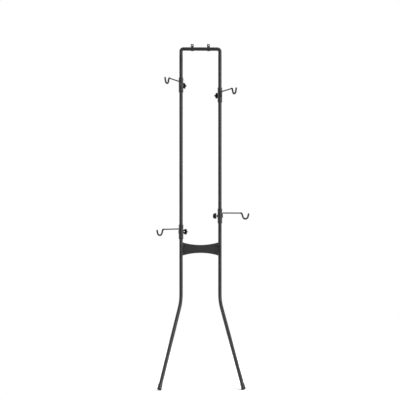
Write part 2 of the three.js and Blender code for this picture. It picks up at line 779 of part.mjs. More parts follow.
for (const [name, height] of Object.entries(clampHeights)) {
  const side = name.endsWith('left') ? sides.left : sides.right;
  addClamp(name, side, height, armTurns[name], lobeTurns[name]);
}

export default rack;
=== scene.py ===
# %% [markdown]
# # A two tier bike rack, dressed around its solids
#
# The rack is a frame of black powder coated tube that leans on a wall. Four clamps slide and swing on
# its two uprights, and each holds a bent rod arm with a soft covered hook. The solids, loaded first,
# say where every piece is and how it moves. They have flat facets, so each gets a smooth surface of
# its own here, in the same place and on the same moving body.

import json
import math

import bmesh
import bpy
import numpy as np
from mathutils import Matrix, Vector


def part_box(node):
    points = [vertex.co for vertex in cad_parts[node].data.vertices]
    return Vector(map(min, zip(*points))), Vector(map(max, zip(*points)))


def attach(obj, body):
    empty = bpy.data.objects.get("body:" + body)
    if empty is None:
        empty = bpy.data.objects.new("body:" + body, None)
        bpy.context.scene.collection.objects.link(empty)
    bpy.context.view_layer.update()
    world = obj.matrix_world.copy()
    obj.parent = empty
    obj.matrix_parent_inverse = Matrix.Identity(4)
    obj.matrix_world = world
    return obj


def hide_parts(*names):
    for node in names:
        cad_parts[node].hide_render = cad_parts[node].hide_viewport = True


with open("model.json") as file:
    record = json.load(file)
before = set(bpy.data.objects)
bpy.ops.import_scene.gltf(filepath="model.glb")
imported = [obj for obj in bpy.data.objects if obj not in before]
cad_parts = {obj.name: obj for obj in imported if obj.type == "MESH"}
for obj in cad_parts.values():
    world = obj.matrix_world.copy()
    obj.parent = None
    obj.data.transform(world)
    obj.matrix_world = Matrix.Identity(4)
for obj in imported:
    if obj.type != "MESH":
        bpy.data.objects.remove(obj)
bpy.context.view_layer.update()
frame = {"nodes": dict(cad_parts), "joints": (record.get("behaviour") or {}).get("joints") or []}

# %% [markdown]
# ## Where things are
#
# Sizes are in millimetres, as on a maker's drawing, and become metres when a mesh is made. Where the
# uprights stand and how thick the tube is are read from the solids' boxes, so that a change in the
# solids moves the surfaces too.

# %% Millimetres, and the places of the tubes
MM = 0.001


def box_of(node):
    """Lowest and highest corner of a solid, in millimetres."""
    return np.array(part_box(node)) / MM


def unit(way):
    """The same direction with a length of one."""
    return way / np.linalg.norm(way)


upright_low, upright_high = box_of("upright_right")
tube_radius = (upright_high[0] - upright_low[0]) / 2
upright_x = (upright_high[0] + upright_low[0]) / 2
tube_y = (upright_high[1] + upright_low[1]) / 2
tube_wall = 1.5
tube_bore = tube_radius - tube_wall
seat_gap = 0.3
UP = np.array([0.0, 0.0, 1.0])
SIDES = {"left": -1, "right": 1}
print("tube radius", round(tube_radius, 2), "upright x", round(upright_x, 2), "y", round(tube_y, 2))

# %% [markdown]
# ## Surfaces from grids
#
# A surface turned on an axis or swept along a line is a grid of points whose neighbours are joined by
# four sided faces, so the helpers below only have to make grids. A row that shrinks to one point
# closes an end. Rows that come back to the first one make a tube with a wall.

# %% From a grid of points to faces


def shell(points, closed=False):
    """A grid of points, rows by columns by 3, as a flat list of points and its faces.

    A face joins point (r, c) to (r, c + 1), (r + 1, c + 1) and (r + 1, c). The last column joins the
    first one, and so does the last row where the rows are closed.
    """
    rows, columns = points.shape[:2]
    r, c = np.indices((rows if closed else rows - 1, columns)).reshape(2, -1)
    next_r, next_c = (r + 1) % rows, (c + 1) % columns
    corners = [r * columns + c, r * columns + next_c, next_r * columns + next_c, next_r * columns + c]
    return points.reshape(-1, 3), np.stack(corners, axis=1)


# %% [markdown]
# ## Lines with round bends
#
# Bent tube and rod are straight lengths joined by arcs. The line below knows its point and heading at
# any distance, so one profile can be carried along straights and bends alike.

# %% A line with an arc at each corner
NEARLY_STRAIGHT = 1e12


class BentLine:
    """Straight runs through the corners, with an arc of the given radius at each inner corner.

    On an arc of radius r, at angle a past its start, the point is
    start + r sin(a) heading + r (1 - cos(a)) inward. A straight run is an arc of immense radius.
    """

    def __init__(self, corners, radii=()):
        corners = np.array(corners, float)
        legs = np.diff(corners, axis=0)
        lengths = np.linalg.norm(legs, axis=1)
        ways = legs / lengths[:, None]
        turns = np.arccos(np.clip(np.sum(ways[:-1] * ways[1:], axis=1), -1, 1))
        cuts = np.array(radii) * np.tan(turns / 2) if len(radii) else np.zeros(0)
        before, after = np.append(0, cuts), np.append(cuts, 0)
        self.runs, distance = [], 0.0
        for i, way in enumerate(ways):
            start = corners[i] + way * before[i]
            self.runs.append((distance, start, way, np.zeros(3), NEARLY_STRAIGHT))
            distance += lengths[i] - before[i] - after[i]
            if i < len(turns):
                inward = unit(ways[i + 1] - way * np.cos(turns[i]))
                self.runs.append((distance, corners[i + 1] - way * after[i], way, inward, radii[i]))
                distance += radii[i] * turns[i]
        self.length = distance

    def at(self, distance):
        """Points and headings at the given distances along the line."""
        distance = np.atleast_1d(np.asarray(distance, float))
        starts = np.array([run[0] for run in self.runs])
        which = np.clip(np.searchsorted(starts, distance, side="right") - 1, 0, len(starts) - 1)
        start, point, way, inward, radius = (
            np.array([run[k] for run in self.runs])[which] for k in range(5)
        )
        angle = (distance - start) / radius
        forward, sideways = radius * np.sin(angle), radius * (1 - np.cos(angle))
        points = point + forward[:, None] * way + sideways[:, None] * inward
        return points, np.cos(angle)[:, None] * way + np.sin(angle)[:, None] * inward

    def stations(self, step_angle=6, longest=60.0):
        """Distances close enough together to draw every bend, and a few along each straight."""
        ends = [run[0] for run in self.runs[1:]] + [self.length]
        parts = []
        for (start, _, _, _, radius), end in zip(self.runs, ends):
            step = min(longest, radius * math.radians(step_angle))
            parts.append(np.linspace(start, end, max(1, math.ceil((end - start) / step)) + 1))
        return np.unique(np.concatenate(parts).round(6))


# %% [markdown]
# ## Profiles with soft corners
#
# Nothing that is cast, drawn or moulded has a truly sharp edge, and a thin round edge catches the
# light. A profile is written with sharp corners, then each corner is replaced by a short arc.

# %% Round the corners of a profile


def softened(corners, radius, steps=4, closed=False):
    """Replaces each corner of a flat line by an arc. Radius is one number, or one for each corner."""
    corners = np.array(corners, float)
    apart = np.append(True, np.linalg.norm(np.diff(corners, axis=0), axis=1) > 1e-6)
    corners, radii = corners[apart], np.broadcast_to(radius, len(corners))[apart]
    count = len(corners)
    made = []
    for i in range(count):
        if not closed and i in (0, count - 1) or radii[i] == 0:
            made.append(corners[i][None])
            continue
        back, ahead = corners[i - 1] - corners[i], corners[(i + 1) % count] - corners[i]
        reach = np.linalg.norm(back), np.linalg.norm(ahead)
        back, ahead = back / reach[0], ahead / reach[1]
        opening = np.arccos(np.clip(back @ ahead, -1, 1))
        if opening > math.radians(179) or opening < math.radians(1):
            made.append(corners[i][None])
            continue
        cut = min(radii[i] / math.tan(opening / 2), 0.49 * min(reach))
        arc = cut * math.tan(opening / 2)
        middle = corners[i] + unit(back + ahead) * math.hypot(cut, arc)
        first, last = corners[i] + back * cut - middle, corners[i] + ahead * cut - middle
        share = np.linspace(0, 1, steps + 1)[:, None]
        swing = math.pi - opening
        blend = (np.sin((1 - share) * swing) * first + np.sin(share * swing) * last) / math.sin(swing)
        made.append(middle + blend)
    return np.concatenate(made)


# %% Put points along the straights of an outline


def filled(outline, step=1.2):
    """Splits each side of a closed outline evenly, so that its points are at most a step apart."""
    sides = np.roll(outline, -1, axis=0) - outline
    parts = np.maximum(1, np.ceil(np.linalg.norm(sides, axis=1) / step)).astype(int)
    share = np.concatenate([np.arange(number) / number for number in parts])
    return np.repeat(outline, parts, axis=0) + np.repeat(sides, parts, axis=0) * share[:, None]


# %% [markdown]
# ## Rings along a line and round an axis
#
# A profile carried along a line or turned on an axis gives rings of points. A ring need not be a
# circle: its radius may change with the angle, which makes hexagons and hand knobs.

# %% Rings


def full_turn(sides):
    """Angles evenly spaced round a circle."""
    return np.linspace(0, 2 * math.pi, sides, endpoint=False)


def carried(line, profile, side, sides=48):
    """Rings at (distance, radius) along a line: centre + radius (cos f across + sin f side)."""
    distance, radius = np.array(profile, float).T
    centre, way = line.at(distance)
    turn = full_turn(sides)[:, None]
    ring = np.cos(turn) * np.cross(side, way)[:, None] + np.sin(turn) * np.array(side)
    return centre[:, None] + radius[:, None, None] * ring


def rings(height, radius, turn):
    """Points round the Z axis, from a height for each row and a radius for each row and angle."""
    height, radius, turn = np.broadcast_arrays(np.reshape(height, (-1, 1)), radius, turn)
    return np.stack([radius * np.cos(turn), radius * np.sin(turn), height], axis=2)


def turned(profile, sides=48, outline=None):
    """Rings at (height, radius) round the Z axis. Outline may give the radius at each angle instead."""
    height, radius = np.array(profile, float).T
    turn = full_turn(sides)
    return rings(height, radius[:, None] if outline is None else outline(radius[:, None], turn), turn)


def placed(points, origin, x_axis=(1, 0, 0), z_axis=UP):
    """Moves points from a piece's own axes to the frame's. Y is Z cross X."""
    return points @ np.stack([x_axis, np.cross(z_axis, x_axis), z_axis]) + origin


def rows_at(value, places):
    """Rows of (place, value), one for each place, all with the same value."""
    return np.stack([places, np.full(len(places), value)], axis=1)


# %% [markdown]
# ## Edges that wear
#
# Paint rubs off first where a surface bends sharply outwards. Along an edge of length d, the
# neighbour sinks below the tangent plane by d squared over twice the radius. The average over the
# neighbours gives each point a number between 0 and 1, which the materials read.

# %% Measure how sharply a surface bends
SOFTEST_EDGE = 4.0
SHARPEST_EDGE = 0.8


def edge_amount(mesh):
    """0 where the surface is flat or broad, 1 where it bends round a radius under a millimetre."""
    count = len(mesh.vertices)
    spots, normals = np.zeros(count * 3), np.zeros(count * 3)
    mesh.vertices.foreach_get("co", spots)
    mesh.vertex_normals.foreach_get("vector", normals)
    spots, normals = spots.reshape(-1, 3) / MM, normals.reshape(-1, 3)
    ends = np.zeros((len(mesh.edges), 2), int)
    mesh.edges.foreach_get("vertices", ends.ravel())
    total, number = np.zeros(count), np.zeros(count)
    for here, there in (ends.T, ends.T[::-1]):
        step = spots[there] - spots[here]
        squared = np.maximum(np.sum(step * step, axis=1), 1e-6)
        np.add.at(total, here, -2 * np.sum(normals[here] * step, axis=1) / squared)
        np.add.at(number, here, 1)
    bend = total / np.maximum(number, 1)
    return np.clip((bend - 0.5 / SOFTEST_EDGE) / (0.5 / SHARPEST_EDGE), 0, 1)


# %% [markdown]
# ## From grids to a piece
#
# A piece is one or more shells in one mesh. Its doubled points are merged, its faces turned outwards
# and its shading smoothed. Then it rides on its body in place of the solid it stands for.

# %% Make a piece
made_pieces = []


def outward_mesh(name, points, faces):
    """A mesh from points in millimetres, with doubled points merged and faces turned outwards."""
    mesh = bpy.data.meshes.new(name)
    mesh.from_pydata((points * MM).tolist(), [], faces.tolist())
    work = bmesh.new()
    work.from_mesh(mesh)
    bmesh.ops.remove_doubles(work, verts=work.verts, dist=2e-6)
    bmesh.ops.recalc_face_normals(work, faces=work.faces)
    work.to_mesh(mesh)
    work.free()
    return mesh


def make_piece(name, shells, finish, node=None, body="frame", slot="frame_paint", crease=50):
    """Builds one object from shells in millimetres. It rides on a body and may stand for a solid."""
    offsets = np.cumsum([0] + [len(points) for points, _ in shells[:-1]])
    faces = np.concatenate([faces + offset for (_, faces), offset in zip(shells, offsets)])
    mesh = outward_mesh(name, np.concatenate([points for points, _ in shells]), faces)
    mesh.shade_smooth()
    mesh.set_sharp_from_angle(angle=math.radians(crease))
    edge = mesh.attributes.new("edge", "FLOAT", "POINT")
    edge.data.foreach_set("value", edge_amount(mesh).astype(np.float32))
    mesh.materials.append(finish)
    piece = bpy.data.objects.new(name, mesh)
    bpy.context.scene.collection.objects.link(piece)
    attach(piece, body)
    if node:
        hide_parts(node)
    made_pieces.append(piece)
    return piece


def faces_of(piece):
    """How many faces a piece has."""
    return len(piece.data.polygons)


# %% [markdown]
# ## Shader sums as plain expressions
#
# A material that varies over its surface is a lot of small sums, each a Math node in the node editor.
# Here a wrapped socket takes part in ordinary Python sums, which add the Math nodes.

# %% Materials written as expressions


class Value:
    """A number that varies over a surface."""

    def __init__(self, nodes, socket):
        self.nodes, self.socket = nodes, socket

    def _sum(self, operation, first, second):
        return self.nodes.number("ShaderNodeMath", {"operation": operation}, {0: first, 1: second})

    def __add__(self, other):
        return self._sum("ADD", self, other)

    def __sub__(self, other):
        return self._sum("SUBTRACT", self, other)

    def __rsub__(self, other):
        return self._sum("SUBTRACT", other, self)

    def __mul__(self, other):
        return self._sum("MULTIPLY", self, other)

    __radd__, __rmul__ = __add__, __mul__


class Nodes:
    """An emptied node tree, and the one way to add nodes to it."""

    def __init__(self, tree):
        self.tree = tree
        tree.nodes.clear()

    def node(self, kind, settings=None, values=None):
        """Adds a node: its settings first, then the values or links of its sockets."""
        made = self.tree.nodes.new(kind)
        for key, setting in (settings or {}).items():
            setattr(made, key, setting)
        for key, given in (values or {}).items():
            self.give(made.inputs[key], given)
        return made

    def number(self, kind, settings, values, output=0):
        """Adds a node and returns one of its outputs as a number that takes part in sums."""
        return Value(self, self.node(kind, settings, values).outputs[output])

    def give(self, socket, given):
        """Links a socket to a varying value, or sets it to a plain one."""
        if isinstance(given, Value):
            given = given.socket
        if isinstance(given, bpy.types.NodeSocket):
            self.tree.links.new(given, socket)
        else:
            socket.default_value = given


class Finish(Nodes):
    """One procedural material, with its surface shader ready to be fed."""

    def __init__(self, name):
        self.material = bpy.data.materials.new(name)
        self.material.use_nodes = True
        super().__init__(self.material.node_tree)
        self.surface = self.node("ShaderNodeBsdfPrincipled")
        self.output = self.node("ShaderNodeOutputMaterial", {}, {"Surface": self.surface.outputs[0]})
        self.place = self.node("ShaderNodeTexCoord").outputs["Object"]

    def noise(self, size, detail):
        """Cloudy noise between 0 and 1 with features of a size in millimetres."""
        values = {"Vector": self.place, "Scale": 1 / (size * MM), "Detail": detail}
        return self.number("ShaderNodeTexNoise", {}, values)

    def cells(self, size):
        """Distance to the nearest of many scattered points, for pits and pebbled grain."""
        values = {"Vector": self.place, "Scale": 1 / (size * MM)}
        return self.number("ShaderNodeTexVoronoi", {}, values)

    def attribute(self, name):
        """A number stored on the mesh."""
        return self.number("ShaderNodeAttribute", {"attribute_name": name}, {}, "Fac")

    def between(self, value, low, high):
        """0 below low, 1 above high, and a smooth step between them."""
        settings = {"interpolation_type": "SMOOTHSTEP"}
        values = {"Value": value, "From Min": low, "From Max": high}
        return self.number("ShaderNodeMapRange", settings, values)

    def mixed(self, share, first, second):
        """A colour between two colours."""
        values = {0: share, 6: first, 7: second}
        return self.node("ShaderNodeMix", {"data_type": "RGBA"}, values).outputs[2]

    def bump(self, height, depth):
        """Turns a height into a normal. Depth is in millimetres."""
        values = {"Height": height, "Distance": depth * MM, "Strength": 1.0}
        self.give(self.surface.inputs["Normal"], self.node("ShaderNodeBump", {}, values).outputs[0])

    def set(self, **values):
        """Sets or links the surface shader's sockets, named with underscores for spaces."""
        for key, given in values.items():
            self.give(self.surface.inputs[key.replace("_", " ")], given)


def grey(level):
    """A grey colour."""
    return (level, level, level, 1)


# %% [markdown]
# ## Powder coat
#
# The frame has a satin black powder coat with a very fine orange peel. Its tone drifts a little along
# a tube, and on thin edges it wears to a lighter grey. The plate and the clamps have the same coat
# with another grain.

# %% Powder coat finishes


def powder_coat(name, level, roughness, grain, depth, gloss=0.2):
    """Satin black paint over steel. Grain and depth of the orange peel are in millimetres."""
    coat = Finish(name)
    peel = 0.6 * coat.noise(grain, 1.5) + 0.5 * coat.cells(grain * 1.3)
    drift = coat.noise(90, 2)
    speck = coat.noise(0.5, 1)
    rubbed = coat.noise(5, 4)
    worn = coat.between(coat.attribute("edge") + 0.6 * rubbed, 0.85, 1.25)
    base = coat.mixed(coat.between(drift, 0.3, 0.7), grey(level), grey(level * 1.5))
    fine = coat.mixed(coat.between(speck, 0.55, 0.75) * 0.5, base, grey(level * 2.2))
    coat.set(Base_Color=coat.mixed(worn * 0.7, fine, grey(level * 7)))
    coat.set(Roughness=roughness + 0.12 * (drift - 0.5) + 0.10 * (peel - 0.5) + 0.08 * (rubbed - 0.5))
    coat.bump(peel + 0.2 * speck, depth)
    coat.set(Specular_IOR_Level=gloss)
    return coat.material


tube_paint = powder_coat("tube_paint", 0.0075, 0.40, 1.5, 0.07)
plate_paint = powder_coat("plate_paint", 0.011, 0.50, 1.1, 0.09)
clamp_paint = powder_coat("clamp_paint", 0.0075, 0.42, 1.3, 0.09)
arm_paint = powder_coat("arm_paint", 0.0075, 0.40, 1.2, 0.05)
print("powder coats made")

# %% [markdown]
# ## Plastics and rubbers
#
# The knobs are glossy moulded plastic with a faint swirl, and the bushes are nylon with a fine grain.
# The hooks are dipped in soft vinyl, which is satin and a little uneven. The feet are rubber with a
# moulded grain and dust in it.

# %% Plastic and rubber finishes


def moulded(name, level, roughness, grain, depth, gloss):
    """Moulded plastic: nearly one colour, with slow changes of gloss."""
    made = Finish(name)
    swirl = made.noise(14, 3)
    pores = made.noise(grain, 2)
    made.set(Base_Color=made.mixed(made.between(swirl, 0.35, 0.65), grey(level), grey(level * 1.5)))
    made.set(Roughness=roughness + 0.12 * (swirl - 0.5) + 0.05 * (pores - 0.5))
    made.set(Specular_IOR_Level=gloss)
    made.bump(pores, depth)
    return made.material


def foot_rubber_finish():
    """Black rubber with a fine grain and a little grey dust that clings near the floor."""
    made = Finish("foot_rubber")
    grain = made.cells(0.9)
    cloud = made.noise(9, 4)
    height = made.number("ShaderNodeSeparateXYZ", {}, {0: made.place}, 2)
    dust = (1 - made.between(height, 0.002, 0.02)) * made.between(cloud, 0.45, 0.7)
    made.set(Base_Color=made.mixed(dust * 0.12, grey(0.003), (0.09, 0.085, 0.075, 1)))
    made.set(Roughness=0.30 + 0.12 * cloud + 0.25 * dust, Specular_IOR_Level=0.3)
    made.bump(grain, 0.05)
    return made.material


knob_plastic = moulded("knob_plastic", 0.002, 0.26, 2.2, 0.006, gloss=0.1)
bush_nylon = moulded("bush_nylon", 0.009, 0.45, 0.5, 0.012, gloss=0.25)
hook_vinyl = moulded("hook_vinyl", 0.004, 0.42, 3.0, 0.06, gloss=0.2)
foot_rubber = foot_rubber_finish()
print("plastics and rubbers made")

# %% [markdown]
# ## Bare metals
#
# Small hardware is zinc plated steel, bright but not polished, with a faint cloudy spangle. The pads
# that press on the tubes are turned brass.

# %% Metal finishes


def plated(name, colour, dark, roughness):
    """Metal with cloudy plating and fine turning marks."""
    made = Finish(name)
    cloud = made.noise(3, 4)
    marks = made.noise(0.35, 2)
    made.set(Base_Color=made.mixed(made.between(cloud, 0.3, 0.75), colour, dark), Metallic=1.0)
    made.set(Roughness=roughness + 0.18 * (cloud - 0.4) + 0.08 * marks)
    made.bump(marks, 0.006)
    return made.material


zinc = plated("zinc_plate", (0.55, 0.56, 0.57, 1), (0.36, 0.37, 0.39, 1), 0.34)
brass = plated("brass", (0.60, 0.42, 0.17, 1), (0.42, 0.28, 0.10, 1), 0.36)
print("metals made")

# %% [markdown]
# ## The top bar
#
# The cross bar is one tube, bent tightly at both ends. Each short leg is drawn down to a beaded neck,
# then to a spigot that plugs into an upright. The profile is carried along the bent line, outside
# first and back along the bore.

# %% Top bar
elbow_radius = 16.0
neck_length = 45.0
neck_wall = 1.4
band_length = 21.0
bead_start, bead_end, bead_edge, bead_round = 7.0, 14.0, 1.5, 0.7
neck_radius = tube_bore - seat_gap
band_radius = (tube_radius + tube_bore) / 2
TUBE_SIDES = 64


def between_ends(line, first, last, radius):
    """The stations of a line between two distances, at one radius."""
    stations = line.stations()
    return rows_at(radius, stations[(stations > first) & (stations < last)])


def bent_tube(line, outside, side):
    """A tube with a wall: its outside profile, then back along a straight bore."""
    bore = rows_at(neck_radius - neck_wall, line.stations()[::-1])
    return shell(carried(line, np.concatenate([*outside, bore]), side, TUBE_SIDES), closed=True)


bar_low, bar_high = box_of("top_bar")
bar_z = bar_high[2] - tube_radius
corners = [(-upright_x, bar_low[2]), (-upright_x, bar_z), (upright_x, bar_z), (upright_x, bar_low[2])]
bar_line = BentLine([(x, tube_y, z) for x, z in corners], [elbow_radius, elbow_radius])
spigot = [(-neck_length, neck_radius - neck_wall), (-neck_length, neck_radius), (0, neck_radius)]
beads = [(0, band_radius), (bead_start, band_radius), (bead_start + bead_edge, tube_radius),
         (bead_end - bead_edge, tube_radius), (bead_end, band_radius),
         (band_length - bead_edge, band_radius), (band_length, tube_radius),
         (band_length + 2 * bead_edge, tube_radius)]
neck = softened(spigot + beads, bead_round) + [neck_length, 0]
far_neck = neck[::-1] * [-1, 1] + [bar_line.length, 0]
bar_middle = between_ends(bar_line, neck[-1, 0], far_neck[0, 0], tube_radius)
bar = bent_tube(bar_line, [neck, bar_middle, far_neck], (0, 1, 0))
top_bar = make_piece("top_bar_tube", [bar], tube_paint, "top_bar")
print("top bar", faces_of(top_bar), "faces, line", round(bar_line.length), "mm")

# %% [markdown]
# ## Uprights and legs
#
# The uprights are plain tube. Each leg starts as a spigot inside its upright, runs down, and bends
# outwards and forwards. The side direction of its rings is square to both its straights.

# %% Uprights
lip_round = 0.45
corners = [(upright_low[2], tube_bore), (upright_low[2], tube_radius),
           (upright_high[2], tube_radius), (upright_high[2], tube_bore)]
wall = softened(corners, lip_round, closed=True)
for name, side in SIDES.items():
    points = placed(turned(wall, TUBE_SIDES), (side * upright_x, tube_y, 0))
    make_piece(f"upright_tube_{name}", [shell(points, closed=True)], tube_paint, f"upright_{name}")
print("uprights made")

# %% Legs
leg_bend_height = 469.0
leg_bend_radius = 127.0
foot_spread = 124.0
foot_reach = 370.0
rim_length = 2.0


def leg_heading(side):
    """The direction of the lower leg, down and outwards."""
    return unit(np.array([side * foot_spread, -foot_reach, -leg_bend_height]))


def leg_end(name, side):
    """Where the leg's axis ends: its rim is the lowest point of the solid."""
    way = leg_heading(side)
    rim_drop = tube_radius * math.sqrt(1 - way[2] ** 2)
    low, _ = box_of(f"leg_{name}")
    length = (low[2] + rim_drop - leg_bend_height) / way[2]
    return np.array([side * upright_x, tube_y, leg_bend_height]) + way * length


step = [(0, tube_radius), (2 * bead_edge, tube_radius)]
neck = softened(spigot + step, lip_round) + [neck_length, 0]
for name, side in SIDES.items():
    top = box_of(f"leg_{name}")[1][2]
    corners = [(side * upright_x, tube_y, height) for height in (top, leg_bend_height)]
    line = BentLine([*corners, leg_end(name, side)], [leg_bend_radius])
    rim = [(-rim_length, tube_radius), (0, tube_radius), (0, neck_radius)]
    rim = softened(rim, lip_round) + [line.length, 0]
    middle = between_ends(line, neck[-1, 0], rim[0, 0], tube_radius)
    tube = bent_tube(line, [neck, middle, rim], unit(np.cross(leg_heading(side), -UP)))
    leg = make_piece(f"leg_tube_{name}", [tube], tube_paint, f"leg_{name}")
print("legs made,", faces_of(leg), "faces each")

# %% [markdown]
# ## Foot caps
#
# Each foot is a moulded rubber cup with a thick flared sole. It is turned on the leg's own axis, so
# the leg stands on the sole's rim. Two grooves run round the cup, and two more make a tread.

# %% Foot caps
cap_wall = 1.8
cap_length = 28.0
sole_thickness = 6.0
sole_radius = 14.2
sole_band = 5.0
sole_flare = 2.2
groove_depth = 0.5
groove_width = 1.4
groove_drops = (9.0, 5.0)
cap_round = 0.6
tread_depth = 0.8
tread_radii = (3.0, 5.5, 8.0, 10.5)


def cap_profile():
    """(height, radius) of the cup, from the middle of the sole round to the floor of the bore."""
    cup_bore = tube_radius + seat_gap
    body = cup_bore + cap_wall
    bottom = -seat_gap - sole_thickness
    tread = [(bottom, 0)]
    for inner, outer in zip(tread_radii[::2], tread_radii[1::2]):
        top = bottom + tread_depth
        tread += [(bottom, inner), (top, inner), (top, outer), (bottom, outer)]
    foot = [(bottom, sole_radius - sole_flare), (bottom + sole_flare, sole_radius),
            (bottom + sole_band, sole_radius), (bottom + sole_band + sole_flare, body)]
    cup = []
    for height in (cap_length - drop for drop in groove_drops):
        half = groove_width / 2
        cup += [(height - half, body), (height, body - groove_depth), (height + half, body)]
    lip = [(cap_length - cap_wall / 2, body), (cap_length, body - cap_wall / 2), (cap_length, cup_bore)]
    bore = [(-seat_gap, cup_bore), (-seat_gap, 0)]
    return softened(tread + foot + cup + lip + bore, cap_round, steps=3)


for name, side in SIDES.items():
    axis = -leg_heading(side)
    across = unit(np.cross(axis, (0, 1, 0)))
    points = placed(turned(cap_profile(), TUBE_SIDES), leg_end(name, side), across, axis)
    cap = make_piece(
        f"foot_cup_{name}", [shell(points)], foot_rubber, f"foot_cap_{name}", slot="foot_rubber"
    )
print("foot caps made,", faces_of(cap), "faces each")

# %% [markdown]
# ## The plate between the uprights
#
# The plate is pressed from sheet: a flat front whose long edges draw in towards the middle, and rims
# rolled back along them. Only the height of its section changes along it, so the section is written
# as points that hang from the edges.

# %% Plate
plate_low, plate_high = box_of("connecting_plate")
plate_z = (plate_low[2] + plate_high[2]) / 2
plate_half = (plate_high[0] - plate_low[0]) / 2
plate_front, plate_back = plate_low[1], plate_high[1]
plate_waist = 51.0
plate_thickness = 2.0
rim_round = 3.4
rim_lip = 0.8
flat_rows = (7, 9, 15)


def plate_edge(x):
    """Half the plate's height at a place along it: an arc that sinks from the ends to the waist."""
    half_end = (plate_high[2] - plate_low[2]) / 2
    sag = half_end - plate_waist / 2
    radius = (plate_half ** 2 + sag ** 2) / (2 * sag)
    return plate_waist / 2 + radius - np.sqrt(radius ** 2 - x ** 2)


def plate_section():
    """Points of the section as (y, which edge, distance in from that edge), outside then inside."""
    for inset in (0, plate_thickness):
        front = plate_front + inset
        rim = [(plate_back, inset), (plate_back - rim_lip, inset), (front, inset)]
        line = softened(rim + [(front, down) for down in flat_rows], rim_round - inset, steps=8)
        sign = np.repeat([1, -1], len(line))
        line = np.concatenate([line, line[::-1]])
        yield line[:, 0], sign, line[:, 1]


def plate_shell():
    """The carried section, with both ends closed between its outside and its inside."""
    x = np.linspace(-plate_half, plate_half, 90)
    loops = []
    for y, sign, inset in plate_section():
        z = plate_z + sign * (plate_edge(x)[:, None] - inset)
        loops.append(np.stack(np.broadcast_arrays(x[:, None], y, z), axis=2))
    count = loops[0].shape[1]
    points = np.concatenate([loops[0], loops[1][:, ::-1]], axis=1)
    flat, faces = shell(points)
    last = (len(x) - 1) * 2 * count
    i = np.arange(count - 1)
    cap = np.stack([i, i + 1, 2 * count - 2 - i, 2 * count - 1 - i], axis=1)
    return flat, np.concatenate([faces, cap, cap + last])


plate = make_piece("plate_pressing", [plate_shell()], plate_paint, "connecting_plate")
print("plate", faces_of(plate), "faces")

# %% [markdown]
# ## Lugs, and flat pieces in general
#
# Behind the plate each upright carries a flat welded lug that the plate is screwed to. A flat piece
# is an outline set back at its edge on both faces. The weld is a bead that swells and thins along
# its length, as a run of overlapping puddles does.

# %% Lugs with their welds
lug_corner, lug_edge = 3.0, 0.4
weld_radius, weld_pitch = 1.5, 2.6
weld_inset, weld_sink, weld_stand = 5.0, 0.2, 0.3
weld_ripple = 0.18


def rounded_rectangle(width, height, radius, steps=6):
    """The outline of a rectangle with round corners, about its middle."""
    w, h = width / 2, height / 2
    return softened([(-w, -h), (w, -h), (w, h), (-w, h)], radius, steps, closed=True)


def slab(outline, thickness, edge):
    """A flat piece about z = 0: rings from the middle of one face out over the edge to the other.

    Each ring is the outline drawn in by an inset. The rings close to the edge keep its wear narrow.
    """
    reach, half = np.abs(outline).max(axis=0), thickness / 2
    face = [(reach, half), (5 * edge, half), (2.5 * edge, half), (edge, half),
            (0.3 * edge, half - 0.3 * edge), (0, half - edge)]
    rows = face + [(inset, -z) for inset, z in face[::-1]]
    return np.stack([
        np.column_stack([outline * (1 - inset / reach), np.full(len(outline), z)]) for inset, z in rows
    ])


def weld_bead(start, end, radius, pitch, side):
    """A rod whose radius rises and falls once for each puddle of the weld."""
    line = BentLine([start, end])
    distance = np.linspace(0, line.length, int(line.length / pitch * 8) + 1)
    swell = radius * (1 - weld_ripple * (1 - np.abs(np.sin(math.pi * distance / pitch))))
    taper = np.clip(np.minimum(distance, line.length - distance) / radius, 0, 1)
    return carried(line, np.stack([distance, swell * np.sqrt(taper * (2 - taper))], axis=1), side, 16)


for name, side in SIDES.items():
    low, high = box_of(f"plate_lug_{name}")
    middle, size = (low + high) / 2, high - low
    outline = filled(rounded_rectangle(size[0], size[2], lug_corner))
    lug = placed(slab(outline, size[1], lug_edge), middle, z_axis=(0, -1, 0))
    root_x = side * (upright_x - tube_radius + weld_sink)
    heights = (low[2] + weld_inset, high[2] - weld_inset)
    ends = [(root_x, high[1] + weld_stand, height) for height in heights]
    bead = weld_bead(*ends, weld_radius, weld_pitch, (1, 0, 0))
    make_piece(f"lug_{name}", [shell(lug), shell(bead)], tube_paint, f"plate_lug_{name}")
print("lugs made")

# %% [markdown]
# ## Screws with hexagon sockets
#
# A button head and its socket come from one set of rings. The rows that belong to the socket take a
# hexagon as their outline instead of a circle.

# %% Button head screws
tip_chamfer, head_edge, socket_rim, socket_lead = 0.5, 0.2, 0.5, 0.4
PLATE_SCREW = {"shank": 2.4, "head": 4.3, "rise": 2.6, "socket": 2.0, "depth": 1.6}
JOINT_SCREW = {"shank": 2.0, "head": 3.4, "rise": 2.0, "socket": 1.6, "depth": 1.2}


def hexagon(corner_radius, turn):
    """Distance from the middle of a hexagon to its side, in each direction."""
    return corner_radius * math.cos(math.pi / 6) / np.cos(np.mod(turn, math.pi / 3) - math.pi / 6)


def socket_screw(tip, seat, shank, head, rise, socket, depth):
    """Rings of a button head screw about Z, from the height of its tip to its head above the seat."""
    base, top = seat + head_edge, seat + rise
    low = [(tip, 0), (tip, shank - tip_chamfer), (tip + tip_chamfer, shank), (seat, shank),
           (seat, head - head_edge)]
    t = np.linspace(0, 1, 9)
    crown = socket + socket_rim
    dome = [base + (top - base) * np.sin(t * math.pi / 2), head - (head - crown) * t ** 2.2]
    well = [(top - socket_lead / 4, socket + socket_lead / 4), (top - socket_lead, socket),
            (top - depth, socket), (top - depth, 0)]
    profile = np.concatenate([low, np.transpose(dome), well])
    is_socket = np.arange(len(profile)) >= len(profile) - len(well)

    def outline(radius, turn):
        return np.where(is_socket[:, None], hexagon(radius, turn), radius)

    return turned(profile, 48, outline)


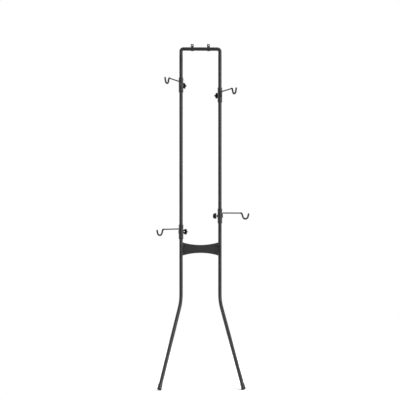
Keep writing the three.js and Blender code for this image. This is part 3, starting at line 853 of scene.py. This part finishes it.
for name, side in SIDES.items():
    for level in ("upper", "lower"):
        low, high = box_of(f"plate_screw_{level}_{name}")
        spot = ((low[0] + high[0]) / 2, plate_front, (low[2] + high[2]) / 2)
        points = socket_screw(plate_front - high[1], seat_gap, **PLATE_SCREW)
        points = placed(points, spot, z_axis=(0, -1, 0))
        node = f"plate_screw_{level}_{name}"
        make_piece(f"plate_button_{level}_{name}", [shell(points)], clamp_paint, node)
    for joint in ("top", "leg"):
        low, high = box_of(f"{joint}_joint_screw_{name}")
        spot = (side * upright_x, tube_y, (low[2] + high[2]) / 2)
        points = socket_screw(low[1] - tube_y, tube_radius + seat_gap, **JOINT_SCREW)
        points = placed(points, spot, z_axis=(0, 1, 0))
        node = f"{joint}_joint_screw_{name}"
        screw = make_piece(f"{joint}_joint_button_{name}", [shell(points)], clamp_paint, node)
print("screws made,", faces_of(screw), "faces each")

# %% [markdown]
# ## Wall brackets
#
# Each bracket is one strip of steel, looped round the bar. A bolt pinches its two tails, and the
# upper one runs back to the wall and turns up into a tab with a hole. From the side the strip is a
# line of arcs and straights, and a narrow rectangle with soft edges is carried along it. The hole is
# cut with a round tool afterwards.

# %% Wall brackets
strap_thickness = 2.0
tail_gap = 1.0
tail_length = 24.0
tab_rise = 44.0
tab_hole_drop = 7.5
tab_hole_radius = 3.2
tab_corner = 2.0
corner_rows = (0.2, 0.5, 0.9, 1.4, 2.0, 3.5)
fold_radius = 3.0
strap_edge = 0.45
strap_play = 0.25
loop_radius = tube_radius + seat_gap + strap_play + strap_thickness / 2


def arc_points(centre, radius, start, end, steps):
    """Points on an arc between two angles in degrees."""
    angle = np.radians(np.linspace(start, end, steps + 1))
    return np.array(centre) + radius * np.stack([np.cos(angle), np.sin(angle)], axis=1)


def strap_line(reach):
    """The strip's middle line, from the top of the tab round the bar to the end of the lower tail."""
    tail_z = (tail_gap + strap_thickness) / 2
    fold_z = tail_z + fold_radius
    hug = math.degrees(math.asin(fold_z / (loop_radius + fold_radius)))
    fold_y = (loop_radius + fold_radius) * math.cos(math.radians(hug))
    back = reach - strap_thickness / 2
    points = np.concatenate([
        [(back, tab_rise)],
        arc_points((back - fold_radius, fold_z), fold_radius, 0, -90, 8),
        arc_points((fold_y, fold_z), fold_radius, 270, 180 + hug, 10),
        arc_points((0, 0), loop_radius, hug, 360 - hug, 72),
        arc_points((fold_y, -fold_z), fold_radius, 180 - hug, 90, 10),
        [(loop_radius + tail_length, -tail_z)],
    ])
    keep = np.append(True, np.linalg.norm(np.diff(points, axis=0), axis=1) > 1e-3)
    return points[keep]


def strap_shell(middle_x, reach):
    """Carries a soft edged rectangle along the strip's line, and narrows the tab at its top corners."""
    line = strap_line(reach)
    extra = line[0] + (line[1] - line[0]) * np.reshape(corner_rows, (-1, 1)) / tab_rise
    line = np.concatenate([line[:1], extra, line[1:]])
    way = np.gradient(line, axis=0)
    way /= np.linalg.norm(way, axis=1)[:, None]
    out = np.stack([way[:, 1], -way[:, 0]], axis=1)
    section = filled(rounded_rectangle(strap_thickness, strap_width, strap_edge, steps=3), 0.9)
    from_top = np.linalg.norm(line - line[0], axis=1)
    drop = np.clip(tab_corner - from_top, 0, tab_corner)
    narrow = tab_corner - np.sqrt(tab_corner ** 2 - drop ** 2)
    flat = line[:, None] + section[:, :1] * out[:, None]
    x = middle_x + section[:, 1] * (1 - narrow * 2 / strap_width)[:, None]
    points = np.concatenate([x[..., None], flat], axis=2)
    middles = np.repeat(points.mean(axis=1, keepdims=True), len(section), axis=1)
    return np.concatenate([middles[:1], points, middles[-1:]])


def cut_round_hole(piece, spot, heading, radius, depth):
    """Cuts a round hole through a piece, as a drill would."""
    spot, reach = np.array(spot), np.array(heading) * depth
    line = BentLine([spot - reach, spot + reach])
    profile = [(0, 0), (0, radius), (line.length, radius), (line.length, 0)]
    tool = shell(carried(line, profile, (1, 0, 0), 40))
    drill = bpy.data.objects.new("drill", outward_mesh("drill", *tool))
    bpy.context.scene.collection.objects.link(drill)
    cut = piece.modifiers.new("hole", "BOOLEAN")
    cut.operation = "DIFFERENCE"
    cut.solver = "EXACT"
    cut.object = drill
    bpy.context.view_layer.update()
    shaped = piece.evaluated_get(bpy.context.evaluated_depsgraph_get())
    piece.data = bpy.data.meshes.new_from_object(shaped)
    piece.modifiers.clear()
    bpy.data.objects.remove(drill)


for name, side in SIDES.items():
    low, high = box_of(f"wall_bracket_{name}")
    middle_x, strap_width = (low[0] + high[0]) / 2, high[0] - low[0]
    points = strap_shell(middle_x, high[1] - tube_y) + [0, tube_y, bar_z]
    bracket = make_piece(f"bracket_strap_{name}", [shell(points)], clamp_paint, f"wall_bracket_{name}")
    hole = (middle_x, high[1] - strap_thickness / 2, bar_z + tab_rise - tab_hole_drop)
    cut_round_hole(bracket, hole, (0, 1, 0), tab_hole_radius, strap_thickness * 2)
    bracket.data.set_sharp_from_angle(angle=math.radians(50))
print("brackets made,", faces_of(bracket), "faces each")

# %% [markdown]
# ## Bolts and nuts
#
# A hexagon head is a hexagon whose corners are turned off by a cone, so at each height the radius is
# the lesser of the two.

# %% Bracket bolts and nuts
bolt_radius, nut_bore = 2.5, 2.6
head_chamfer, nut_chamfer = 0.7, 0.6
cone_share = 0.97


def hexagon_rings(low, high, corner, chamfer, bore=0.0, both=False):
    """A hexagon block about Z. A cone takes the corners off the top, and off the bottom too if both."""
    flat = corner * math.cos(math.pi / 6)
    t = np.linspace(0, 1, 13)
    depth, radius = chamfer * (1 - t), corner - (corner - flat * cone_share) * t
    upper = np.stack([high - depth, radius], axis=1)
    lower = np.stack([low + depth, radius], axis=1)[::-1] if both else [(low, corner)]
    rows = np.concatenate([[(low, bore)], lower, upper, [(high, (flat + bore) / 2), (high, bore)]])

    def outline(radius, turn):
        return np.where(radius <= bore, bore, np.minimum(hexagon(corner, turn), radius))

    return turned(rows, 180, outline)


for name, side in SIDES.items():
    bolt_low, bolt_high = box_of(f"bracket_bolt_{name}")
    nut_low, nut_high = box_of(f"bracket_nut_{name}")
    place = ((bolt_low + bolt_high) / 2 * [1, 1, 0], (0, 1, 0))
    corner = (bolt_high[1] - bolt_low[1]) / 2
    seat, tip = bar_z + tail_gap / 2 + strap_thickness + seat_gap, bolt_low[2]
    shank = [(tip, 0), (tip, bolt_radius - tip_chamfer), (tip + tip_chamfer, bolt_radius),
             (seat + 1, bolt_radius), (seat + 1, 0)]
    shells = [shell(placed(points, *place)) for points in (
        hexagon_rings(seat, bolt_high[2], corner, head_chamfer), turned(shank, 32))]
    crisp = {"slot": "zinc_steel", "crease": 38}
    make_piece(f"strap_bolt_{name}", shells, zinc, f"bracket_bolt_{name}", **crisp)
    nut = hexagon_rings(nut_low[2], nut_high[2], corner, nut_chamfer, nut_bore, both=True)
    nut = shell(placed(nut, *place), closed=True)
    nut = make_piece(f"strap_nut_{name}", [nut], zinc, f"bracket_nut_{name}", **crisp)
print("bolts and nuts made,", faces_of(nut), "faces each")

# %% [markdown]
# ## The four clamps
#
# The clamps are alike. Each has its own axes: A points out along the arm, Z points up and B is
# square to both. Its middle and its arm's direction are read from the joint that turns its knob,
# because that joint's axis points away from the arm.

# %% Axes of each clamp
CLAMPS = ("upper_left", "upper_right", "lower_left", "lower_right")
joints = {joint["name"]: joint for joint in frame["joints"]}


def clamp_axes(clamp):
    """The clamp's middle in millimetres and its arm direction."""
    joint = joints[f"{clamp}_knob_turn"]
    return np.array(joint["pos_m"]) / MM, -np.array(joint["axis"], float)


def at_clamp(points, clamp):
    """Places points given as (A, B, Z) about the clamp's middle."""
    return placed(points, *clamp_axes(clamp))


def at_screw(points, clamp):
    """Places points turned about the clamping screw, at heights out from the upright's axis."""
    middle, arm = clamp_axes(clamp)
    return placed(points, middle, UP, -arm)


for clamp in CLAMPS:
    middle, arm = clamp_axes(clamp)
    forward = math.degrees(math.atan2(-arm[1], abs(arm[0])))
    print(clamp, "stands at", round(middle[2]), "mm, its arm", round(forward, 1), "degrees forward")

# %% [markdown]
# ## Bushes and sleeve
#
# Nylon bushes close the ends of the sleeve and run on the tube. The sleeve is a casting: a body with
# banded ends, a barrel for the arm and a boss for the screw. Seen from the axis the barrel is only a
# swelling of the wall, so body and barrel are one grid. Its radius is the greater of the two, eased
# into each other like a cast fillet. The boss stands out too far for that, so it is a shell of its
# own, whose foot follows the body's curve and flares into it.

# %% Bushes
sleeve_low, sleeve_high = box_of("lower_right_sleeve")
sleeve_half = (sleeve_high[2] - sleeve_low[2]) / 2
bush_bore = tube_radius + seat_gap
bush_wall = 1.5
bush_shank = 14.0
bush_collar = 4.2
sleeve_play = 0.6
sleeve_bore = tube_radius + sleeve_play
flare_wall = 3.3
lip_length, lip_drop = 1.2, 1.0
SLEEVE_SIDES = 180


def bush_profile():
    """(height above the sleeve's end, radius) of the shank inside the sleeve, shoulder and collar."""
    outer, shoulder = bush_bore + bush_wall, sleeve_bore + flare_wall - lip_drop
    end = seat_gap + bush_collar
    corners = [(-bush_shank, bush_bore), (-bush_shank, outer), (seat_gap, outer), (seat_gap, shoulder),
               (end - lip_drop, shoulder), (end, shoulder - lip_length), (end, bush_bore)]
    return softened(corners, 0.5, closed=True)


for clamp in CLAMPS:
    for end, sign in (("top", 1), ("bottom", -1)):
        profile = bush_profile() * [sign, 1] + [sign * sleeve_half, 0]
        points = at_clamp(turned(profile, 96), clamp)
        bush = make_piece(
            f"{clamp}_{end}_bush_ring", [shell(points, closed=True)], bush_nylon,
            f"{clamp}_{end}_bush", f"{clamp}_slider", "bush_nylon",
        )
print("bushes made,", faces_of(bush), "faces each")

# %% Sleeve body with its barrel
middle_wall = 3.2
waist_wall = 2.8
middle_top = 15.0
waist_bottom, waist_top = 21.0, 29.0
flare_height = 6.0
rod_radius = 4.0
spigot_radius = 3.0
socket_wall = 1.0
barrel_wall = 1.5
barrel_top, barrel_bottom = 12.0, -12.0
barrel_fall, barrel_edge, barrel_sink = 9.0, 0.8, 2.0
barrel_reach = sleeve_bore + socket_wall + seat_gap + spigot_radius
barrel_radius = spigot_radius + seat_gap + barrel_wall
fillet = 1.2


def body_radius(height):
    """The turned body's radius at each height: middle band, shallow waists and banded ends."""
    half = [(0, middle_wall), (middle_top, middle_wall), (waist_bottom, waist_wall),
            (waist_top, waist_wall), (sleeve_half - flare_height, flare_wall),
            (sleeve_half - lip_length, flare_wall), (sleeve_half, flare_wall - lip_drop)]
    line = softened(half, [0, 7, 5, 5, 4, 1.0, 0], steps=8)
    return sleeve_bore + np.interp(np.abs(height), line[:, 0], line[:, 1])


def greater(first, second, ease):
    """The greater of two heights, with the crease between them filled by a curve."""
    near = np.clip(ease - np.abs(first - second), 0, None) / ease
    return np.maximum(first, second) + near ** 2 * ease / 4


def barrel_swell(turn, height):
    """How far out the barrel reaches, seen from the axis, eased off at its two ends."""
    sine = barrel_reach * np.abs(np.sin(turn)) / barrel_radius
    over = np.maximum(sine - 1, 0)
    far = barrel_reach * np.cos(turn) + barrel_radius * np.sqrt(np.maximum(1 - sine ** 2, 0))
    far = np.where(np.cos(turn) > 0, far - over * barrel_fall, 0)
    inside = np.clip(np.minimum(barrel_top - height, height - barrel_bottom) / barrel_edge, 0, 1)
    floor = sleeve_bore + middle_wall - barrel_sink
    return floor + (far - floor) * (1 - (1 - inside ** 2) ** 1.5)


def sleeve_rows():
    """Heights of the rows: a millimetre apart, and closer where the barrel and the flares end."""
    even = np.arange(-sleeve_half, sleeve_half, 1.0)
    close = [end + np.linspace(-1.2, 1.2, 17) for end in (barrel_top, barrel_bottom)]
    lips = [sign * (sleeve_half - np.linspace(0, 1.8, 9)) for sign in (-1, 1)]
    return np.unique(np.concatenate([even, *close, *lips, [sleeve_half]]).round(4))


def sleeve_body():
    """Rings up the outside and back down the bore."""
    height, turn = sleeve_rows()[:, None], full_turn(SLEEVE_SIDES)
    radius = greater(body_radius(height), barrel_swell(turn, height), fillet)
    seat, shelf = bush_bore + bush_wall + seat_gap, sleeve_half - bush_shank - seat_gap
    bore = np.array([(sleeve_half, seat), (shelf, seat), (shelf, sleeve_bore),
                     (-shelf, sleeve_bore), (-shelf, seat), (-sleeve_half, seat)])
    radius = np.concatenate([radius, np.repeat(bore[:, 1:], SLEEVE_SIDES, axis=1)])
    return rings(np.append(height, bore[:, 0]), radius, turn)


print("sleeve grid", sleeve_body().shape[:2])

# %% Sleeve boss for the screw
boss_radius = 8.0
boss_reach = 17.8
boss_foot = 1.4
boss_sink = 0.15
boss_root = 0.6
boss_lip = 1.5
boss_hole = 5.0
BOSS_SIDES = 96
stud_radius = 4.0


def sleeve_boss():
    """Rings round the screw's axis: a foot that follows the body, then the boss and its hole.

    The foot's radius falls from wide to the boss's own as t goes from 0 to 1. Its height rises from
    the body's surface, which at sideways distance y is sqrt(body radius squared - y squared).
    """
    turn = full_turn(BOSS_SIDES)
    t = np.linspace(0, 1, 9)[:, None]
    wide = boss_radius + boss_foot * (1 - np.sin(t * math.pi / 2))
    up, across = wide * np.cos(turn), wide * np.sin(turn)
    rise = boss_foot * (1 - np.cos(t * math.pi / 2)) - boss_sink
    height = np.sqrt(body_radius(up) ** 2 - across ** 2) + rise
    foot = np.stack([up, across, height], axis=2)
    hidden = foot[:1] * 0 + [0, 0, sleeve_bore + boss_root]
    hole, floor = stud_radius + seat_gap, boss_reach - boss_hole
    rim = [(boss_reach - boss_lip, boss_radius), (boss_reach, boss_radius), (boss_reach, hole),
           (floor, hole), (floor, 0)]
    rim = softened(rim, [0, 0.9, 0.4, 0, 0], steps=5)
    return np.concatenate([hidden, foot, turned(rim, BOSS_SIDES)])


for clamp in CLAMPS:
    shells = [shell(at_clamp(sleeve_body(), clamp), closed=True), shell(at_screw(sleeve_boss(), clamp))]
    sleeve = make_piece(
        f"{clamp}_sleeve_casting", shells, clamp_paint, f"{clamp}_sleeve", f"{clamp}_clamp", "clamp_paint"
    )
print("sleeves made,", faces_of(sleeve), "faces each")

# %% [markdown]
# ## Arm, pin and hook cover
#
# The arm is one rod that stands in the barrel, bends out level, then turns down and round into the
# hook. The hook's vinyl ends in a soft lip on the rod and closes over its tip.

# %% Arm line
arm_rise = 19.0
spigot_bend = 6.0
arm_bend = 8.0
hook_reach = 150.0
hook_tip_rise = -6.5
hook_bend = 18.0
hook_depth = 36.0
inner_lean, tip_lean = math.radians(18), math.radians(14)
cover_start = 140.0
cover_wall = 1.3
cover_play = 0.15
cover_tip = 0.4
lip_wall, lip_start, lip_run, lip_end = 0.7, 1.5, 1.8, 4.0
droop_swell, droop_width, droop_share = 0.035, 9.0, 0.52


def arm_corners():
    """Knee, hook corner and end in (A, B, Z), from where the hook's round is and how its legs lean."""
    drop = hook_depth - hook_bend
    across = (hook_bend + drop * math.sin(inner_lean)) / math.cos(inner_lean)
    centre = np.array([hook_reach + across, 0, arm_rise - drop])
    inner_normal = np.array([-math.cos(inner_lean), 0, -math.sin(inner_lean)])
    tip_normal = np.array([math.cos(tip_lean), 0, -math.sin(tip_lean)])
    tip_way = np.array([math.sin(tip_lean), 0, math.cos(tip_lean)])
    bisector = unit(inner_normal + tip_normal)
    corner = centre + bisector * hook_bend / math.sin((inner_lean + tip_lean) / 2)
    tip_start = centre + tip_normal * hook_bend
    end = tip_start + tip_way * (arm_rise + hook_tip_rise - tip_start[2]) / tip_way[2]
    return np.array([hook_reach, 0, arm_rise]), corner, end, tip_way


knee, hook_corner, arm_end, tip_way = arm_corners()
foot = np.array([barrel_reach, 0, barrel_bottom + seat_gap])
corners = [foot, [barrel_reach, 0, arm_rise], knee, hook_corner, arm_end]
arm_line = BentLine(corners, [spigot_bend, arm_bend, hook_bend])
print("arm", round(arm_line.length), "mm of rod, hook bottom at", round(arm_rise - hook_depth, 1), "mm")

# %% Arms, pins and hook covers
ROD_SIDES = 40
row_gap = 0.2


def rod_profile(line, radius, edge):
    """A rod's (distance, radius) rows, with both ends closed and their edges rounded."""
    ends = softened([(0, 0), (0, radius), (edge * 3, radius)], edge)
    middle = between_ends(line, edge * 3, line.length - edge * 3, radius)
    return np.concatenate([ends, middle, ends[::-1] * [-1, 1] + [line.length, 0]])


def arm_profile():
    """The arm's rows. Up to a shoulder just past its first bend it is necked to the thinner spigot."""
    rows = rod_profile(arm_line, rod_radius, 0.6)
    shoulder = arm_rise - spigot_bend - foot[2] + spigot_bend * math.pi / 2
    step = [(-1, spigot_radius), (0, spigot_radius), (0, rod_radius), (1.6, rod_radius)]
    step = softened(step, [0, 0.3, 0.6, 0]) + [shoulder, 0]
    before = rows[rows[:, 0] < step[0, 0] - row_gap] * [1, spigot_radius / rod_radius]
    return np.concatenate([before, step, rows[rows[:, 0] > step[-1, 0] + row_gap]])


def cover_points():
    """From the bore's closed end down to the lip, then back along the outside to the dome."""
    outer, inner = rod_radius + cover_wall, rod_radius + cover_play
    tip = arm_end + tip_way * (seat_gap + cover_tip)
    line = BentLine([[cover_start, 0, arm_rise], knee, hook_corner, tip], [arm_bend, hook_bend])
    end = line.length
    bore_end = [(end - cover_tip, 0), (end - cover_tip, inner)]
    inside = between_ends(line, lip_start, end - 2, inner)[::-1]
    lip = [(lip_start, inner), (0, inner), (0, inner + lip_wall), (lip_run, outer), (lip_end, outer)]
    lip = softened(lip, [0, 0.2, 0.4, 1.2, 0])
    angle = np.linspace(0, math.pi / 2, 14)
    dome = np.stack([end + outer * np.sin(angle), outer * np.cos(angle)], axis=1)
    rows = np.concatenate([bore_end, inside, lip, between_ends(line, lip_end, end, outer), dome])
    droop = np.exp(-((rows[:, 0] - end * droop_share) / droop_width) ** 2)
    rows[:, 1] *= 1 + droop_swell * droop * (rows[:, 1] > inner + 0.5)
    return carried(line, rows, (0, 1, 0), ROD_SIDES)


pin_radius, pin_drop, pin_stand = 1.5, 5.0, 0.5
pin_line = BentLine([[barrel_reach, -barrel_radius - pin_stand, -pin_drop],
                     [barrel_reach, barrel_radius + pin_stand, -pin_drop]])
rod = carried(arm_line, arm_profile(), (0, 1, 0), ROD_SIDES)
pin = carried(pin_line, rod_profile(pin_line, pin_radius, 0.35), (1, 0, 0), 24)
ARM_PIECES = (
    ("arm_rod", rod, arm_paint, "arm", "clamp_paint"),
    ("hook_dip", cover_points(), hook_vinyl, "hook_cover", "hook_vinyl"),
    ("cross_pin", pin, clamp_paint, "arm_pin", "clamp_paint"),
)
for clamp in CLAMPS:
    for name, points, finish, node, slot in ARM_PIECES:
        shells = [shell(at_clamp(points, clamp))]
        make_piece(f"{clamp}_{name}", shells, finish, f"{clamp}_{node}", f"{clamp}_clamp", slot)
print("arms, pins and covers made")

# %% [markdown]
# ## Screw and knob
#
# The clamping screw has a real thread: a ridge whose height depends on how far a point has gone
# round and along. Its collar is the bright neck between the boss and the knob. The knob's outline is
# a star with five lobes, and each row of the grid is a share of that outline. Each knob stands as it
# was tightened: three with a lobe towards the front, the lower right one with a lobe towards the back.

# %% Pads stay as they are, in brass
for clamp in CLAMPS:
    pad = frame["nodes"][f"{clamp}_pad"]
    pad.data.materials.clear()
    pad.data.materials.append(brass)
print("pads kept as solids")

# %% Screws
thread_pitch = 1.5
thread_depth = 0.55
collar_radius = 5.2
collar_length = 6.8
knob_start = 27.0
pad_thickness = 2.8
nose_length, nose_radius = 1.5, 2.0
stud_in_knob = 10.7


def screw_rings(first, last, nose):
    """A threaded shank with a turned collar. The ridge is a triangle wave of (height / pitch - turn)."""
    turn = full_turn(48)
    collar = [(-collar_length, stud_radius - 0.1), (-collar_length, collar_radius), (0, collar_radius),
              (0, stud_radius)]
    collar = softened(collar, 0.6) + [knob_start - seat_gap, 0]
    thread = rows_at(stud_radius, np.arange(first + 1.0, collar[0, 0], thread_pitch / 8))
    tip = [(nose, 0), (nose, nose_radius - 0.4), (nose + 0.4, nose_radius), (first, nose_radius),
           (first, stud_radius - 0.8), (first + 0.6, stud_radius - 0.4)]
    rows = np.concatenate([tip, thread, collar, [(last, stud_radius), (last, 0)]])
    height, radius = rows[:, :1], rows[:, 1:]
    ridge = np.abs(2 * np.mod(height / thread_pitch - turn / (2 * math.pi), 1) - 1)
    count = np.arange(len(rows))[:, None]
    threaded = (count >= len(tip)) & (count < len(tip) + len(thread))
    return rings(height, radius - thread_depth * ridge * threaded, turn)


# %% Knobs
knob_face = knob_start + 16.5
knob_radius = 19.0
knob_hub, hub_neck = 8.4, 7.4
dish_radius, insert_radius = 8.0, 6.6
lobe_depth = 6.8
lobe_power = 1.15
lobes = 5
grip_edge, grip_face = 2.4, 0.66
KNOB_SIDES = 200


def star(turn, lobe_at):
    """The knob's outline: a circle that draws in between its lobes, one of which stands at an angle."""
    return knob_radius - lobe_depth * (0.5 - 0.5 * np.cos(lobes * (turn - lobe_at))) ** lobe_power


def knob_rings(lobe_at):
    """Rings from the back of the hub over the grip to the face.

    A row of the grip has a height and a share: its radius is that share of the star's, and the rest of
    the round hub's. So the star stands up on the flat faces and shrinks to the round hub in the middle.
    """
    back = knob_start + 1.0
    grip = [(back, 0), (back, knob_radius), (knob_face - grip_edge, knob_radius),
            (knob_face, grip_face * knob_radius), (knob_face, 0)]
    grip = softened(grip, [0, 1.8, 3.4, 3.0, 0], steps=7)
    turn, share = full_turn(KNOB_SIDES), grip[:, 1:] / knob_radius
    star_rows = rings(grip[:, 0], knob_hub * (1 - share) + star(turn, lobe_at) * share, turn)
    hub_back = [(knob_start, 0), (knob_start, hub_neck - 0.5), (knob_start + 0.4, hub_neck),
                (back, hub_neck)]
    dish = [(knob_face - 0.3, dish_radius), (knob_face - 1.1, dish_radius - 0.2), (knob_face - 1.2, 0)]
    return np.concatenate([turned(hub_back, KNOB_SIDES), star_rows, turned(dish, KNOB_SIDES)])


def knob_insert():
    """The small domed cap pressed into the middle of the face."""
    rows = [(-1.6, 0), (-1.6, insert_radius), (-0.5, insert_radius), (-0.2, 0)]
    rows = softened(rows, [0, 0, 0.8, 0], steps=6)
    return turned(rows + [knob_face, 0], 64)


pad_end = tube_radius + seat_gap + pad_thickness
screw = screw_rings(pad_end + seat_gap, knob_start + stud_in_knob, pad_end + seat_gap - nose_length)
for clamp in CLAMPS:
    lobe_at = -math.pi / 2 if clamp == "upper_right" else math.pi / 2
    for name, points, finish, node, slot, crease in (
        ("clamp_screw", screw, zinc, f"{clamp}_stud", "zinc_steel", 50),
        ("star_knob", knob_rings(lobe_at), knob_plastic, f"{clamp}_knob", "knob_plastic", 40),
        ("knob_insert", knob_insert(), bush_nylon, None, "bush_nylon", 50),
    ):
        shells = [shell(at_screw(points, clamp))]
        make_piece(f"{clamp}_{name}", shells, finish, node, f"{clamp}_knob_body", slot, crease)
print("screws and knobs made")

# %% [markdown]
# ## Camera
#
# The photograph looks level at the rack from a little above a metre high, slightly from the left,
# with a long lens. A small lens shift puts the horizon below the middle of the picture without
# tilting the camera, so the uprights stay parallel.

# %% Camera
image_size = 400
sensor = 36.0
focal_pixels = 667.0
camera_distance = 4.25
eye_height = 1.062
yaw = math.radians(0.9)
horizon_pixel = 208.3
middle_pixel = 200.48

camera_data = bpy.data.cameras.new("camera")
camera = bpy.data.objects.new("camera", camera_data)
bpy.context.scene.collection.objects.link(camera)
camera_data.sensor_width = sensor
camera_data.lens = focal_pixels / image_size * sensor
camera_y = tube_y * MM - camera_distance * math.cos(yaw)
camera.location = (-camera_distance * math.sin(yaw), camera_y, eye_height)
camera.rotation_euler = (math.pi / 2, 0, -yaw)
camera_data.shift_x = (image_size / 2 - middle_pixel) / image_size
camera_data.shift_y = (horizon_pixel - image_size / 2) / image_size
bpy.context.scene.camera = camera
print("lens", round(camera_data.lens, 1), "mm, camera at", [round(c, 3) for c in camera.location])

# %% [markdown]
# ## Floor, world and lamps
#
# The floor is a white sheet that fades into the world and keeps the rack's soft shadow. The world is
# white to the lens and to reflections, and gives part of the light. Two tall lamps light the tubes
# along their whole length, the stronger one from the right, where the photograph's tubes have their
# bright rim. A high lamp reaches the right sides of the legs, and a weak one lights the back.

# %% Floor
floor_size = 3.0
floor_drop = 0.0004


def floor_finish():
    """White that fades to nothing with distance from the rack."""
    made = Finish("studio_floor")
    made.set(Base_Color=(1, 1, 1, 1), Roughness=0.9, Specular_IOR_Level=0.0)
    spread = made.number("ShaderNodeVectorMath", {"operation": "LENGTH"}, {0: made.place}, "Value")
    fade = made.between(spread, 0.6, floor_size * 0.45)
    clear = made.node("ShaderNodeBsdfTransparent")
    shaders = {0: fade, 1: made.surface.outputs[0], 2: clear.outputs[0]}
    made.give(made.output.inputs["Surface"], made.node("ShaderNodeMixShader", {}, shaders).outputs[0])
    return made.material


floor_mesh = bpy.data.meshes.new("studio_floor")
half = floor_size / 2
corners = [(x * half, y * half, -floor_drop) for x, y in ((-1, -1), (1, -1), (1, 1), (-1, 1))]
floor_mesh.from_pydata(corners, [], [(0, 1, 2, 3)])
floor = bpy.data.objects.new("studio_floor", floor_mesh)
bpy.context.scene.collection.objects.link(floor)
floor_mesh.materials.append(floor_finish())
print("floor", floor_size, "m")

# %% World and lamps
world_light = 0.45
world = bpy.data.worlds.new("studio")
world.use_nodes = True
bpy.context.scene.world = world
studio = Nodes(world.node_tree)
rays = studio.node("ShaderNodeLightPath").outputs
shown = Value(studio, rays["Is Camera Ray"]) + rays["Is Glossy Ray"] + rays["Is Transmission Ray"]
lit, white = (
    studio.node("ShaderNodeBackground", {}, {"Color": (1, 1, 1, 1), "Strength": strength}).outputs[0]
    for strength in (world_light, 1.0)
)
chosen = studio.node("ShaderNodeMixShader", {}, {0: shown, 1: lit, 2: white}).outputs[0]
studio.node("ShaderNodeOutputWorld", {}, {"Surface": chosen})


def soft_lamp(name, spot, width, height, watts):
    """An area lamp that faces the middle of the rack."""
    data = bpy.data.lights.new(name, "AREA")
    data.shape = "RECTANGLE"
    data.energy = watts
    data.size = width
    data.size_y = height
    lamp = bpy.data.objects.new(name, data)
    bpy.context.scene.collection.objects.link(lamp)
    lamp.location = spot
    aim = Vector((0, tube_y * MM, 1.0)) - Vector(spot)
    lamp.rotation_euler = aim.to_track_quat("-Z", "Y").to_euler()


soft_lamp("key_right", (2.6, -1.6, 1.6), width=1.2, height=3.3, watts=195)
soft_lamp("rim_left", (-2.8, -0.5, 1.4), width=1.0, height=3.0, watts=65)
soft_lamp("top_back", (0.4, 1.6, 3.2), width=1.4, height=1.4, watts=25)
soft_lamp("high_right", (1.8, -1.4, 4.2), width=1.6, height=1.6, watts=70)
print("world and lamps made")

# %% [markdown]
# ## Finish
#
# The view transform is the plain one, so that a colour renders as it is written. The number of pieces and
# faces made is printed.

# %% Set the view transform and count the pieces
bpy.context.scene.view_settings.view_transform = "Standard"
print(len(made_pieces), "pieces,", sum(faces_of(piece) for piece in made_pieces), "faces")
